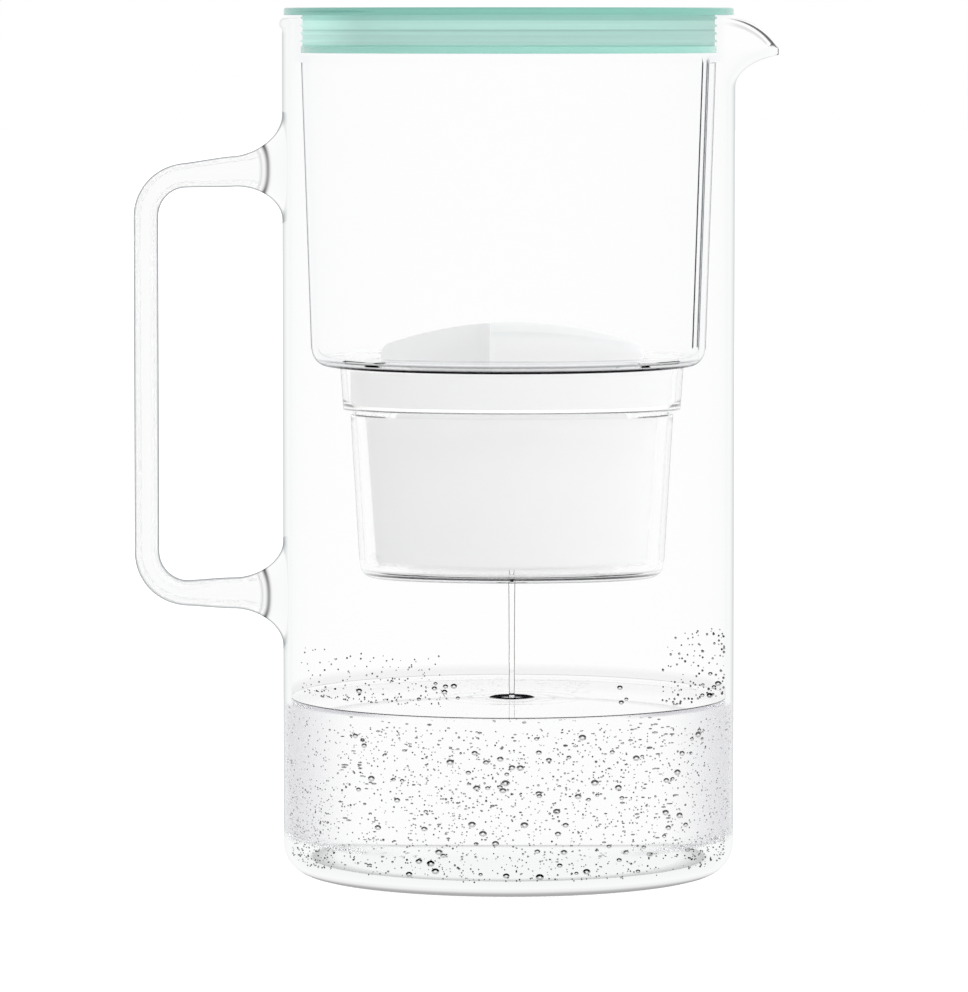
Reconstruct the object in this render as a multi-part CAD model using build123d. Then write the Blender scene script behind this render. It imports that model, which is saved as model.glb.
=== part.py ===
from build123d import *
import math
import os

# Water filter jug with a flip lid.
# Origin: centre of the jug's underside.  +Z up, +X towards the pouring spout, -X towards the handle.
# Every length is in millimetres.

# ---------------------------------------------------------------- driving dimensions
# Glass jug
jug_radius = 68.0
jug_wall = 2.5
jug_height = 257.8
jug_base = 4.5
jug_foot_radius = 9.0
rim_bead_proud = 0.8
rim_bead_height = 3.0

# Pouring spout, drawn out of the rim
spout_reach = 13.4
spout_drop = 9.8
spout_root_below_rim = 20.9
spout_half_angle = 27.0
spout_sink = 0.5
spout_lip_radius = 17.5
spout_lip_start = 2.0
spout_wall = 2.2
spout_sections = 7
spout_end_turn = 70.0

# Glass loop handle
handle_standoff = 41.75
handle_thickness = 7.4
handle_width = 18.0
handle_bend_radius = 12.5
handle_top_below_rim = 47.9
handle_height = 125.9
handle_top_rise = 2.6
handle_flare_length = 9.0
handle_flare_thickness = 15.0
handle_flare_width = 24.0

# Hopper that holds the unfiltered water
hopper_clearance = 0.8
hopper_wall = 2.0
hopper_flange = 0.8
hopper_flange_inset = 0.8
hopper_step = 2.4
hopper_taper = 3.0
hopper_depth = 102.3
hopper_corner_radius = 4.5
groove_radius = 6.0
groove_depth = 2.2

# Well for the cartridge, in the hopper's floor
well_offset = 1.0
well_wall = 1.6
well_clearance = 0.5
well_flare = 1.2
well_ledge_depth = 15.7
well_ledge_width = 2.0
well_taper = 3.0
well_bottom_gap = 1.4
well_corner_radius = 4.0
drip_nipple_radius = 4.4
drip_nipple_length = 1.4
drip_bore_radius = 1.1
drip_hole_radius = 1.3
drip_hole_spacing = 12.0
drip_holes_each_side = 2

# Filter cartridge
cartridge_half_width = 48.6
cartridge_half_depth = 31.0
cartridge_wall = 1.6
band_height = 10.4
band_shoulder = 4.4
body_depth = 49.2
body_taper = 3.6
body_corner_radius = 3.0
seal_thickness = 1.0
seal_width = 3.0
cap_plate = 1.6
cap_inset = 9.0
cap_height = 14.3
cap_crown_radius = 113.0
cap_edge_radius = 4.0
cap_snap_clearance = 0.1
ridge_half_width = 6.5
scoop_floor_above_plate = 0.6
scoop_corner_radius = 5.0
inlet_slot_width = 1.6
inlet_slot_length = 9.0
inlet_slots = 5
outlet_slot_width = 1.6
outlet_slot_length = 16.0
outlet_slots = 9
screen_thickness = 0.8
screen_clearance = 0.4
screen_hole_radius = 1.4
screen_hole_pitch = 4.6
carbon_bed_depth = 24.0
bed_clearance = 0.3

# Lid
lid_disc = 2.2
lid_inset = 0.5
lid_edge_radius = 0.7
plug_depth = 11.3
plug_clearance = 0.3
plug_lip_height = 2.0
plug_wall = 1.8
plug_floor_gap = 0.8
gasket_thickness = 0.7
gasket_fin_proud = 0.5
gasket_fin_height = 0.7
gasket_fins = 4

# Flip flap over the filling opening
hinge_x = 8.0
fill_margin = 5.4
flap_gap = 0.5
flap_plate = 1.8
barrel_radius = 2.0
barrel_swing_gap = 0.7
barrel_end_gap = 0.8
barrel_corner_inset = 0.4
hinge_pin_radius = 1.0
hinge_pin_clearance = 0.05
hinge_pin_length = 13.0
hinge_pin_grip = 5.5
lug_half_width = 2.6
lug_height = 4.4
flap_ledge_width = 3.0
flap_ledge = 1.4
flap_seal_thickness = 0.8
flap_seal_width = 1.4
flap_seal_inset = 1.0
thumb_scoop_radius = 14.0
thumb_scoop_below_flap = 0.5
thumb_floor_radius = 9.0

# Filter change dial
dial_margin = 11.4
dial_radius = 12.0
dial_plate = 1.1
dial_gap = 0.3
dial_floor_gap = 0.1
dial_shaft_radius = 2.0
dial_shaft_clearance = 0.06
dial_boss_radius = 5.0
dial_boss_height = 4.2
dial_clip = 0.9
dial_clip_gap = 0.2
dial_clip_radius = 4.2
dial_clip_groove = 0.4
dial_dimple_radius = 3.0
dial_dimple_depth = 0.6
dial_shaft_tail = 0.8

# ---------------------------------------------------------------- radii worked out from them
jug_inner = jug_radius - jug_wall
collar_outer = jug_inner - hopper_clearance
collar_inner = collar_outer - hopper_wall
plug_radius = collar_inner - plug_clearance
hopper_top_radius = collar_outer - hopper_step
hopper_floor_radius = hopper_top_radius - hopper_taper
lid_radius = jug_radius - lid_inset
gasket_outer = plug_radius - gasket_fin_proud
gasket_inner = gasket_outer - gasket_thickness
plug_inner = gasket_inner - plug_wall
fill_radius = plug_inner - fill_margin
flap_radius = fill_radius - flap_gap
barrel_length = 2 * (math.sqrt(flap_radius ** 2 - hinge_x ** 2) - barrel_corner_inset)
dial_x = plug_inner - dial_margin - dial_radius

# ---------------------------------------------------------------- heights worked out from them
flange_top = jug_height + hopper_flange
lid_top = flange_top + lid_disc
plug_bottom = flange_top - plug_depth
collar_floor = plug_bottom - plug_floor_gap
shoulder_under = collar_floor - hopper_wall
hopper_floor = flange_top - hopper_depth
hopper_floor_under = hopper_floor - hopper_wall
well_ledge = hopper_floor - well_ledge_depth
band_bottom = well_ledge + seal_thickness
band_top = band_bottom + band_height
body_bottom = band_bottom - body_depth
well_floor = body_bottom - well_bottom_gap
well_under = well_floor - well_wall
cap_top = band_top + cap_height
axis_z = lid_top - barrel_radius
flap_under = lid_top - flap_plate
ledge_top = flap_under - flap_seal_thickness
ledge_under = ledge_top - flap_ledge

UP = (Align.CENTER, Align.CENTER, Align.MIN)
RIM = 30.0  # spare height by which a cutter runs past the top of what it cuts


def disc(radius, low, high, x=0.0):
    """Upright cylinder about (x, 0) between two heights."""
    return Pos(x, 0, low) * Cylinder(radius, high - low, align=UP)


def cone(low_radius, high_radius, low, high):
    """Upright cone about the jug's axis between two heights."""
    return Pos(0, 0, low) * Cone(low_radius, high_radius, high - low, align=UP)


def oval(half_width, half_depth, z):
    """Elliptical face about the cartridge's axis at one height."""
    return Pos(well_offset, 0, z) * Ellipse(half_width, half_depth)


def oval_block(low, high, low_grow, high_grow):
    """Tapered oval block; each grow is measured outwards from the cartridge's rim."""
    low_face = oval(cartridge_half_width + low_grow, cartridge_half_depth + low_grow, low)
    high_face = oval(cartridge_half_width + high_grow, cartridge_half_depth + high_grow, high)
    return loft([low_face, high_face])


def bottom_edges(shape):
    """Edges of a block that lie lowest."""
    return shape.edges().group_by(Axis.Z)[0]


def top_edges(shape):
    """Edges of a block that lie highest."""
    return shape.edges().group_by(Axis.Z)[-1]


# ---------------------------------------------------------------- glass jug
def spout_outline(radius, bulge, z):
    """Face whose front edge lies just inside the wall, plus the bulge times a cosine-squared bell."""
    steps = 8
    points = []
    for index in range(steps + 1):
        share = 2.0 * index / steps - 1.0
        angle = math.radians(spout_half_angle) * share
        distance = radius - spout_sink + bulge * math.cos(math.pi * share / 2) ** 2
        points.append((distance * math.cos(angle), distance * math.sin(angle), z))
    edge_angle = math.radians(spout_half_angle)
    start_tangent = (math.sin(edge_angle), math.cos(edge_angle), 0)
    end_tangent = (-math.sin(edge_angle), math.cos(edge_angle), 0)
    front = Spline(*points, tangents=(start_tangent, end_tangent))
    back_x = (jug_inner - jug_wall) * math.cos(edge_angle)
    low_corner = (back_x, points[0][1], z)
    high_corner = (back_x, points[-1][1], z)
    back = Polyline(points[-1], high_corner, low_corner, points[0])
    return make_face([front] + back.edges())


def spout_bell(radius, reach, drop):
    """Bell that turns from the wall almost to level along an ellipse, and then runs up past the rim."""
    root = jug_height - spout_root_below_rim
    end_turn = math.radians(spout_end_turn)
    faces = []
    for index in range(spout_sections):
        turn = end_turn * index / (spout_sections - 1)
        height = root + drop * math.sin(turn) / math.sin(end_turn)
        bulge = (reach + spout_sink) * (1 - math.cos(turn)) / (1 - math.cos(end_turn))
        faces.append(spout_outline(radius, bulge, height))
    tall = extrude(faces[-1], amount=RIM, dir=(0, 0, 1))
    return loft(faces) + tall


def lip_cutter(radius):
    """Everything above the spout's falling lip, as seen from the side."""
    lip_centre_x = jug_radius - spout_lip_start
    lip_centre_z = jug_height - spout_lip_radius
    far = lip_centre_x + 3 * spout_lip_radius
    half = jug_radius
    block = Pos((lip_centre_x + far) / 2, 0, lip_centre_z + spout_lip_radius) * Box(
        far - lip_centre_x, 2 * half, 2 * spout_lip_radius
    )
    round_part = Pos(lip_centre_x, 0, lip_centre_z) * Rot(90, 0, 0) * Cylinder(radius, 3 * half)
    above_rim = disc(2 * jug_radius, jug_height, jug_height + 2 * RIM)
    return (block - round_part) + above_rim


def make_jug_glass():
    """Round glass jug: wall, foot, beaded rim and drawn spout."""
    outer = disc(jug_radius, 0, jug_height)
    outer = fillet(bottom_edges(outer), jug_foot_radius)
    bead = disc(jug_radius + rim_bead_proud, jug_height - rim_bead_height, jug_height)
    bead = fillet(bottom_edges(bead) + top_edges(bead), 0.9 * rim_bead_proud)
    spout = spout_bell(jug_radius, spout_reach, spout_drop)
    mouth = spout_bell(jug_inner, spout_reach + jug_wall, spout_drop + spout_wall)
    bore = disc(jug_inner, jug_base, jug_height + RIM)
    bore = fillet(bottom_edges(bore), jug_foot_radius - jug_wall)
    glass = outer + bead + spout - bore - mouth
    return glass - lip_cutter(spout_lip_radius)


def handle_section(place, along, spread):
    """Oval section of the handle, square to its route; spread runs from 0, the bar, to 1, the root."""
    thickness = handle_thickness + spread * (handle_flare_thickness - handle_thickness)
    width = handle_width + spread * (handle_flare_width - handle_width)
    return Plane(origin=place, x_dir=(0, 1, 0), z_dir=along) * Ellipse(width / 2, thickness / 2)


def handle_root(place, outward):
    """Root of the handle, which spreads from the bar into the wall."""
    faces = []
    for share in (0.0, 0.55, 1.0):
        reach = share * (handle_flare_length + jug_wall)
        faces.append(handle_section(place + outward * reach, outward, share ** 2))
    return loft(faces)


def make_jug_handle():
    """Bent glass bar fused to the wall at both ends."""
    grip_x = -jug_radius - handle_standoff
    root_x = -jug_radius - handle_flare_length
    top_z = jug_height - handle_top_below_rim
    low_z = top_z - handle_height
    route = FilletPolyline(
        (root_x, 0, top_z + handle_top_rise),
        (grip_x, 0, top_z),
        (grip_x, 0, low_z),
        (root_x, 0, low_z),
        radius=handle_bend_radius,
    )
    bar = sweep(handle_section(route @ 0, route % 0, 0.0), path=route)
    upper_root = handle_root(route @ 0, -(route % 0))
    lower_root = handle_root(route @ 1, route % 1)
    return bar + upper_root + lower_root - disc(jug_radius, 0, jug_height)


# ---------------------------------------------------------------- hopper
def hopper_radius(z):
    """Outside radius of the hopper's tapered wall at one height."""
    share = (z - hopper_floor_under) / (shoulder_under - hopper_floor_under)
    return hopper_floor_radius + hopper_taper * share


def groove_rod(radius, high):
    """Round rod that leans with the wall, for the air groove on the spout side."""
    out = groove_radius - groove_depth
    low_face = Pos(hopper_floor_radius + out, 0, hopper_floor_under) * Circle(radius)
    high_face = Pos(hopper_radius(high) + out, 0, high) * Circle(radius)
    return loft([low_face, high_face])


def make_hopper_cup():
    """Flange, collar, tapered wall and floor of the hopper, with no well."""
    wall = cone(hopper_floor_radius, hopper_top_radius, hopper_floor_under, shoulder_under)
    wall = fillet(bottom_edges(wall), hopper_corner_radius)
    collar = disc(collar_outer, shoulder_under, flange_top)
    flange = disc(jug_radius - hopper_flange_inset, jug_height, flange_top)
    inner_floor_radius = hopper_radius(hopper_floor) - hopper_wall
    hollow = cone(inner_floor_radius, hopper_top_radius - hopper_wall, hopper_floor, shoulder_under)
    hollow = fillet(bottom_edges(hollow), hopper_corner_radius - hopper_wall)
    throat = disc(hopper_top_radius - hopper_wall, shoulder_under, collar_floor)
    mouth = disc(collar_inner, collar_floor, flange_top)
    rib = groove_rod(groove_radius + hopper_wall, collar_floor) & (wall + collar)
    cup = wall + collar + flange - hollow - throat - mouth
    return cup + rib - groove_rod(groove_radius, shoulder_under)


def make_well():
    """Oval stepped pocket below the hopper's floor, solid outside and hollow inside."""
    ledge_grow = well_clearance
    lower_grow = well_clearance - well_ledge_width
    band = oval_block(well_ledge - well_wall, hopper_floor, ledge_grow + well_wall,
                      ledge_grow + well_flare + well_wall)
    pocket = oval_block(well_under, well_ledge, lower_grow - well_taper + well_wall,
                        lower_grow + well_wall)
    pocket = fillet(bottom_edges(pocket), well_corner_radius)
    band_hollow = oval_block(well_ledge, hopper_floor, ledge_grow, ledge_grow + well_flare)
    pocket_hollow = oval_block(well_floor, well_ledge, lower_grow - well_taper, lower_grow)
    pocket_hollow = fillet(bottom_edges(pocket_hollow), well_corner_radius - well_wall)
    nipple = disc(drip_nipple_radius, well_under - drip_nipple_length, well_floor, well_offset)
    return band + pocket + nipple, band_hollow + pocket_hollow


def drip_cutter():
    """Round outlets along the well's floor: a bore through the nipple and plain holes beside it."""
    low = well_under - 2 * drip_nipple_length
    high = well_floor + drip_nipple_length
    cutter = disc(drip_bore_radius, low, high, well_offset)
    for step in range(1, drip_holes_each_side + 1):
        for side in (-1, 1):
            place = well_offset + side * step * drip_hole_spacing
            cutter += disc(drip_hole_radius, low, high, place)
    return cutter


def make_hopper():
    """Clear funnel that hangs in the jug's mouth and carries the cartridge."""
    shell, hollow = make_well()
    return make_hopper_cup() + shell - hollow - drip_cutter()


# ---------------------------------------------------------------- cartridge
def body_grow(z):
    """Outside of the cartridge's body at one height, measured from its rim."""
    return -band_shoulder - body_taper * (band_bottom - z) / body_depth


def body_block(low, high, inset):
    """Block that follows the cartridge's body between two heights, a little inside it."""
    return oval_block(low, high, body_grow(low) - inset, body_grow(high) - inset)


def slot_row(count, pitch, length, width, low, high):
    """Row of round-ended slots that run along Y, spread along X about the cartridge's axis."""
    slots = Part()
    for index in range(count):
        place = well_offset + (index - (count - 1) / 2) * pitch
        slots += Pos(place, 0, low) * extrude(SlotOverall(length, width, rotation=90), amount=high - low)
    return slots


def make_cartridge_housing():
    """White oval cup with a wider band at its mouth and slots in its floor."""
    body = body_block(body_bottom, band_bottom, 0)
    body = fillet(bottom_edges(body), body_corner_radius)
    band = oval_block(band_bottom, band_top, 0, 0)
    body_hollow = body_block(body_bottom + cartridge_wall, band_bottom + cartridge_wall, cartridge_wall)
    band_hollow = oval_block(band_bottom + cartridge_wall, band_top, -cartridge_wall, -cartridge_wall)
    slots = slot_row(outlet_slots, 3 * outlet_slot_width, outlet_slot_length, outlet_slot_width,
                     body_bottom - cartridge_wall, body_bottom + 2 * cartridge_wall)
    return body + band - body_hollow - band_hollow - slots


def scoop(side, grow):
    """One finger scoop of the cap: front left for side -1, back right for side +1."""
    reach = cartridge_half_width
    floor = band_top + cap_plate + scoop_floor_above_plate - grow
    inner_x = ridge_half_width - grow
    block = Box(reach, reach, 2 * cap_height, align=(Align.MIN, Align.MIN, Align.MIN))
    block = Pos(inner_x, -grow, floor) * block
    corner = block.edges().filter_by(Axis.Z).sort_by(lambda edge: edge.center().X + edge.center().Y)[0]
    block = fillet(corner, scoop_corner_radius - grow)
    turned = block if side > 0 else Rot(0, 0, 180) * block
    return Pos(well_offset, 0, 0) * turned


def cap_dome(inset):
    """Oval crown of the cap, less an inset all round."""
    half_width = cartridge_half_width - cap_inset - inset
    half_depth = cartridge_half_depth - cap_inset + 1.0 - inset
    wall = extrude(oval(half_width, half_depth, band_top), amount=cap_height + cap_plate, dir=(0, 0, 1))
    ball_radius = cap_crown_radius - inset
    ball = Pos(well_offset, 0, cap_top - cap_crown_radius) * Sphere(ball_radius)
    crown = wall & ball
    return fillet(top_edges_of_crown(crown), cap_edge_radius - inset)


def top_edges_of_crown(crown):
    """The edge where the crown's upright wall meets its rounded top."""
    return [edge for edge in crown.edges() if edge.center().Z > band_top + cap_plate]


def make_cartridge_cap():
    """Domed cover with two finger scoops, an upright grip between them and inlet slots."""
    plate = oval_block(band_top, band_top + cap_plate, 0, 0)
    skirt_grow = -cartridge_wall - cap_snap_clearance
    skirt_low = band_bottom + cartridge_wall + screen_thickness
    skirt = oval_block(skirt_low, band_top, skirt_grow, skirt_grow)
    skirt -= oval_block(skirt_low, band_top, skirt_grow - cartridge_wall, skirt_grow - cartridge_wall)
    hollow = cap_dome(cartridge_wall)
    solid = plate + skirt + cap_dome(0)
    for side in (-1, 1):
        solid -= scoop(side, 0)
        hollow -= scoop(side, cartridge_wall)
    slots = Part()
    for side in (-1, 1):
        for index in range(inlet_slots):
            along = ridge_half_width + (index + 1.5) * 2.6 * inlet_slot_width
            out = side * inlet_slot_length
            slot = extrude(SlotOverall(inlet_slot_length, inlet_slot_width, rotation=90),
                           amount=3 * cap_plate)
            slots += Pos(well_offset + side * along, out, band_top - cap_plate) * slot
    return solid - hollow - slots


def make_cartridge_seal():
    """Soft oval ring under the band, squeezed on to the ledge of the well."""
    ring = oval_block(well_ledge, band_bottom, 0, 0)
    inside = oval_block(well_ledge, band_bottom, -seal_width, -seal_width)
    return ring - inside


def make_screen(low, grow):
    """Thin oval plate with a field of round holes."""
    plate = oval_block(low, low + screen_thickness, grow, grow)
    half_width = cartridge_half_width + grow - screen_hole_pitch
    half_depth = cartridge_half_depth + grow - screen_hole_pitch
    across = int(half_width // screen_hole_pitch)
    deep = int(half_depth // screen_hole_pitch)
    holes = []
    for column in range(-across, across + 1):
        for row in range(-deep, deep + 1):
            x = column * screen_hole_pitch
            y = row * screen_hole_pitch
            if (x / half_width) ** 2 + (y / half_depth) ** 2 <= 1:
                holes.append(Pos(well_offset + x, y, low) * Circle(screen_hole_radius))
    return plate - extrude(Sketch(children=holes), amount=screen_thickness, dir=(0, 0, 1))


# ---------------------------------------------------------------- lid
def half_disc(radius, edge_x, low, high):
    """The part of a round block that lies on the handle side of an upright plane."""
    round_block = disc(radius, low, high)
    keep = Pos(edge_x, 0, low) * Box(3 * radius, 3 * radius, high - low,
                                     align=(Align.MAX, Align.CENTER, Align.MIN))
    return round_block & keep


def hinge_rod(radius, length, y=0.0):
    """Rod along the flap's hinge axis, centred on one place along it."""
    return Pos(hinge_x, y, axis_z) * Rot(90, 0, 0) * Cylinder(radius, length)


def pin_place():
    """Distance from the jug's axis to the middle of each hinge pin."""
    lug_start = barrel_length / 2 + barrel_end_gap
    return lug_start + hinge_pin_grip - hinge_pin_length / 2


def make_lid_cover():
    """Flat round lid with a plug below it, a filling opening, hinge lugs, a dial seat and a thumb scoop."""
    cover = disc(lid_radius, flange_top, lid_top)
    cover = fillet(top_edges(cover), lid_edge_radius)
    plug = disc(gasket_inner, plug_bottom, flange_top) + disc(plug_radius, plug_bottom,
                                                              plug_bottom + plug_lip_height)
    plug -= disc(plug_inner, plug_bottom, flange_top)
    opening_edge = hinge_x + barrel_radius + barrel_swing_gap
    opening = half_disc(fill_radius, opening_edge, flange_top, lid_top)
    swing_room = Box(opening_edge - hinge_x + lug_half_width, 2 * flap_radius, lid_disc,
                     align=(Align.MAX, Align.CENTER, Align.MIN))
    opening += Pos(opening_edge, 0, flange_top) * swing_room
    ledge_edge = hinge_x - barrel_radius - barrel_swing_gap
    ledge = half_disc(fill_radius + plug_wall, ledge_edge, ledge_under, ledge_top)
    ledge -= half_disc(fill_radius - flap_ledge_width, ledge_edge - flap_ledge_width, ledge_under, ledge_top)
    web = half_disc(fill_radius + plug_wall, ledge_edge, ledge_top, flange_top)
    web -= half_disc(fill_radius, ledge_edge + 1.0, ledge_top, flange_top)
    body = cover - opening + plug + ledge + web
    for side in (-1, 1):
        lug_start = barrel_length / 2 + barrel_end_gap
        lug = Pos(hinge_x, side * (lug_start + hinge_pin_grip / 2), flange_top) * Box(
            2 * lug_half_width, hinge_pin_grip, lug_height, align=(Align.CENTER, Align.CENTER, Align.MAX)
        )
        body += lug
    for side in (-1, 1):
        body -= hinge_rod(hinge_pin_radius, hinge_pin_length, side * pin_place())
    seat_low = lid_top - dial_plate - dial_floor_gap
    boss = disc(dial_boss_radius, flange_top - dial_boss_height, seat_low, dial_x)
    seat = disc(dial_radius + dial_gap, seat_low, lid_top, dial_x)
    bore = disc(dial_shaft_radius + dial_shaft_clearance, plug_bottom, lid_top, dial_x)
    thumb_floor = disc(thumb_floor_radius, ledge_under, flange_top, -fill_radius)
    thumb_floor &= disc(plug_inner + plug_wall / 2, ledge_under, flange_top)
    thumb_floor -= disc(fill_radius, ledge_under, flange_top)
    ball_height = flap_under - thumb_scoop_below_flap + thumb_scoop_radius
    thumb = Pos(-fill_radius, 0, ball_height) * Sphere(thumb_scoop_radius)
    return body + boss + thumb_floor - seat - bore - thumb


def make_lid_gasket():
    """Soft sleeve round the plug with thin fins that wipe the hopper's collar."""
    low = plug_bottom + plug_lip_height
    sleeve = disc(gasket_outer, low, flange_top)
    pitch = (flange_top - low) / gasket_fins
    for index in range(gasket_fins):
        base = low + (index + 0.5) * pitch
        sleeve += disc(plug_radius, base, base + gasket_fin_height)
    return sleeve - disc(gasket_inner, low, flange_top)


def make_flap_hinge_pins():
    """Two short steel pins, pressed into the lid's lugs."""
    pins = []
    for side in (-1, 1):
        pins.append(hinge_rod(hinge_pin_radius, hinge_pin_length, side * pin_place()))
    return Compound(children=pins)


def make_flap():
    """Flap plate with a full-width hinge barrel, bored at both ends for the pins."""
    plate = half_disc(flap_radius, hinge_x, flap_under, lid_top)
    barrel = hinge_rod(barrel_radius, barrel_length)
    bore_length = hinge_pin_length + 2 * barrel_end_gap
    flap = plate + barrel
    for side in (-1, 1):
        flap -= hinge_rod(hinge_pin_radius + hinge_pin_clearance, bore_length, side * pin_place())
    return flap


def make_flap_seal():
    """Thin soft ring under the flap that lies on the opening's ledge."""
    edge = hinge_x - barrel_radius - barrel_swing_gap - flap_seal_inset
    outer = fill_radius - flap_seal_inset
    ring = half_disc(outer, edge, ledge_top, flap_under)
    return ring - half_disc(outer - flap_seal_width, edge - flap_seal_width, ledge_top, flap_under)


def make_change_dial():
    """Flush numbered dial with a finger dimple and a grooved shaft."""
    seat_low = lid_top - dial_plate
    clip_top = flange_top - dial_boss_height - dial_clip_gap
    clip_low = clip_top - dial_clip
    plate = disc(dial_radius, seat_low, lid_top, dial_x)
    shaft = disc(dial_shaft_radius, clip_low - dial_shaft_tail, seat_low, dial_x)
    groove = disc(dial_clip_radius, clip_low, clip_top, dial_x)
    groove -= disc(dial_shaft_radius - dial_clip_groove, clip_low, clip_top, dial_x)
    dimple_x = dial_x + dial_radius / 2
    dimple = Pos(dimple_x, 0, lid_top + dial_dimple_radius - dial_dimple_depth) * Sphere(dial_dimple_radius)
    return plate + shaft - groove - dimple


def make_dial_clip():
    """Snap ring in the shaft's groove, under the boss."""
    top = flange_top - dial_boss_height - dial_clip_gap
    ring = disc(dial_clip_radius, top - dial_clip, top, dial_x)
    return ring - disc(dial_shaft_radius - dial_clip_groove, top - dial_clip, top, dial_x)


def make_beds():
    """Carbon bed, divider screen and resin bed, stacked inside the housing."""
    inset = cartridge_wall + bed_clearance
    outlet_low = body_bottom + cartridge_wall
    resin_low = outlet_low + screen_thickness
    carbon_high = band_bottom + cartridge_wall
    carbon_low = carbon_high - carbon_bed_depth
    resin_high = carbon_low - screen_thickness
    carbon_top = band_bottom
    carbon = body_block(carbon_low, carbon_top, inset)
    carbon += oval_block(carbon_top, carbon_high, body_grow(carbon_top) - inset, body_grow(carbon_top) - inset)
    resin = body_block(resin_low, resin_high, inset)
    divider = make_screen(resin_high, body_grow(resin_high) - cartridge_wall - screen_clearance)
    outlet = make_screen(outlet_low, body_grow(outlet_low) - cartridge_wall - screen_clearance)
    inlet = make_screen(carbon_high, -cartridge_wall - screen_clearance)
    return carbon, resin, divider, outlet, inlet


# ---------------------------------------------------------------- all pieces
carbon_bed, resin_bed, bed_divider, outlet_screen, inlet_screen = make_beds()

pieces = {
    "jug_glass": make_jug_glass(),
    "jug_handle": make_jug_handle(),
    "hopper": make_hopper(),
    "cartridge_housing": make_cartridge_housing(),
    "cartridge_cap": make_cartridge_cap(),
    "cartridge_seal": make_cartridge_seal(),
    "inlet_screen": inlet_screen,
    "carbon_bed": carbon_bed,
    "bed_divider": bed_divider,
    "resin_bed": resin_bed,
    "outlet_screen": outlet_screen,
    "lid_cover": make_lid_cover(),
    "lid_gasket": make_lid_gasket(),
    "flap_hinge_pins": make_flap_hinge_pins(),
    "flap": make_flap(),
    "flap_seal": make_flap_seal(),
    "change_dial": make_change_dial(),
    "dial_clip": make_dial_clip(),
}

os.makedirs("parts", exist_ok=True)
for name, piece in pieces.items():
    export_step(piece, f"parts/{name}.step")
    print(name, round(piece.volume, 1))
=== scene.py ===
# %% [markdown]
# # A glass filter jug with a flip lid
# The CAD model is loaded as a fixed frame: it holds the sizes, the bodies and the joints. This lesson
# dresses it. Clear parts are the hard thing here, because glass shows only what it bends, so the jug, the
# hopper and the water get new smooth surfaces, and the small hidden parts keep their CAD shape and get
# better finishes.

import math

import bmesh
import bpy
import numpy as np
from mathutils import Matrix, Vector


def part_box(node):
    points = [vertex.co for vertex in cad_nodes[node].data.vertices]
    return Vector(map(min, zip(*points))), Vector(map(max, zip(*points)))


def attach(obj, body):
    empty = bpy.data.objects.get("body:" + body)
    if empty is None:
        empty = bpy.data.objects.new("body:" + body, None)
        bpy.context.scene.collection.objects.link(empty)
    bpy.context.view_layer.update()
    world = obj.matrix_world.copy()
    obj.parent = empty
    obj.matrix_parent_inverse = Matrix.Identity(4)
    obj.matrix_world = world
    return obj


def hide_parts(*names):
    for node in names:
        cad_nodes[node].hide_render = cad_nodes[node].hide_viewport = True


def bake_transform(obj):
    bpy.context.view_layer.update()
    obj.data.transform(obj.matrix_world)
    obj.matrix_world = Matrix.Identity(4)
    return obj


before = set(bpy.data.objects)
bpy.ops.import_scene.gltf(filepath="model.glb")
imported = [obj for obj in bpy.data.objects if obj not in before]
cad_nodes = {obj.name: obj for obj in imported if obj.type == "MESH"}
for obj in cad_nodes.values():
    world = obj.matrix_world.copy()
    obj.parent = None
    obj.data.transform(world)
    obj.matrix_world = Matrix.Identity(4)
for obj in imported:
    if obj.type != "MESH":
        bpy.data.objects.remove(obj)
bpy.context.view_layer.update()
MM = 0.001
CM = 10 * MM

# %% [markdown]
# ## Helpers
# Every surface below is worked out with numpy as rings of points, in millimetres. A profile and a Spin
# would do for a plain tube, but most rings here change round the jug, and whole arrays allow that. One
# helper joins rings into quads, one closes an end with a fan, and one puts the arrays into a Blender mesh.


# %% Rings of points become faces
def ring_faces(rings, sides, loop=False):
    """Quads between neighbouring rings. Each ring closes on itself, and loop joins the last to the
    first."""
    row = np.arange(rings if loop else rings - 1)[:, None]
    side = np.arange(sides)[None, :]
    after = (row + 1) % rings
    beside = (side + 1) % sides
    corners = [row * sides + side, row * sides + beside, after * sides + beside, after * sides + side]
    return np.stack(corners, axis=-1).reshape(-1, 4)


def fan_faces(ring, pole):
    """Triangles from every edge of a ring, given as point numbers, to one pole."""
    return np.stack([ring, np.roll(ring, -1), np.full(len(ring), pole)], axis=-1)


def capped_faces(rings, sides):
    """Faces of a tube of rings with a fan on either end; the two poles are numbered after the rings'
    points."""
    first = np.arange(sides)
    last = first + (rings - 1) * sides
    return [ring_faces(rings, sides), fan_faces(first, rings * sides), fan_faces(last, rings * sides + 1)]


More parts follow.
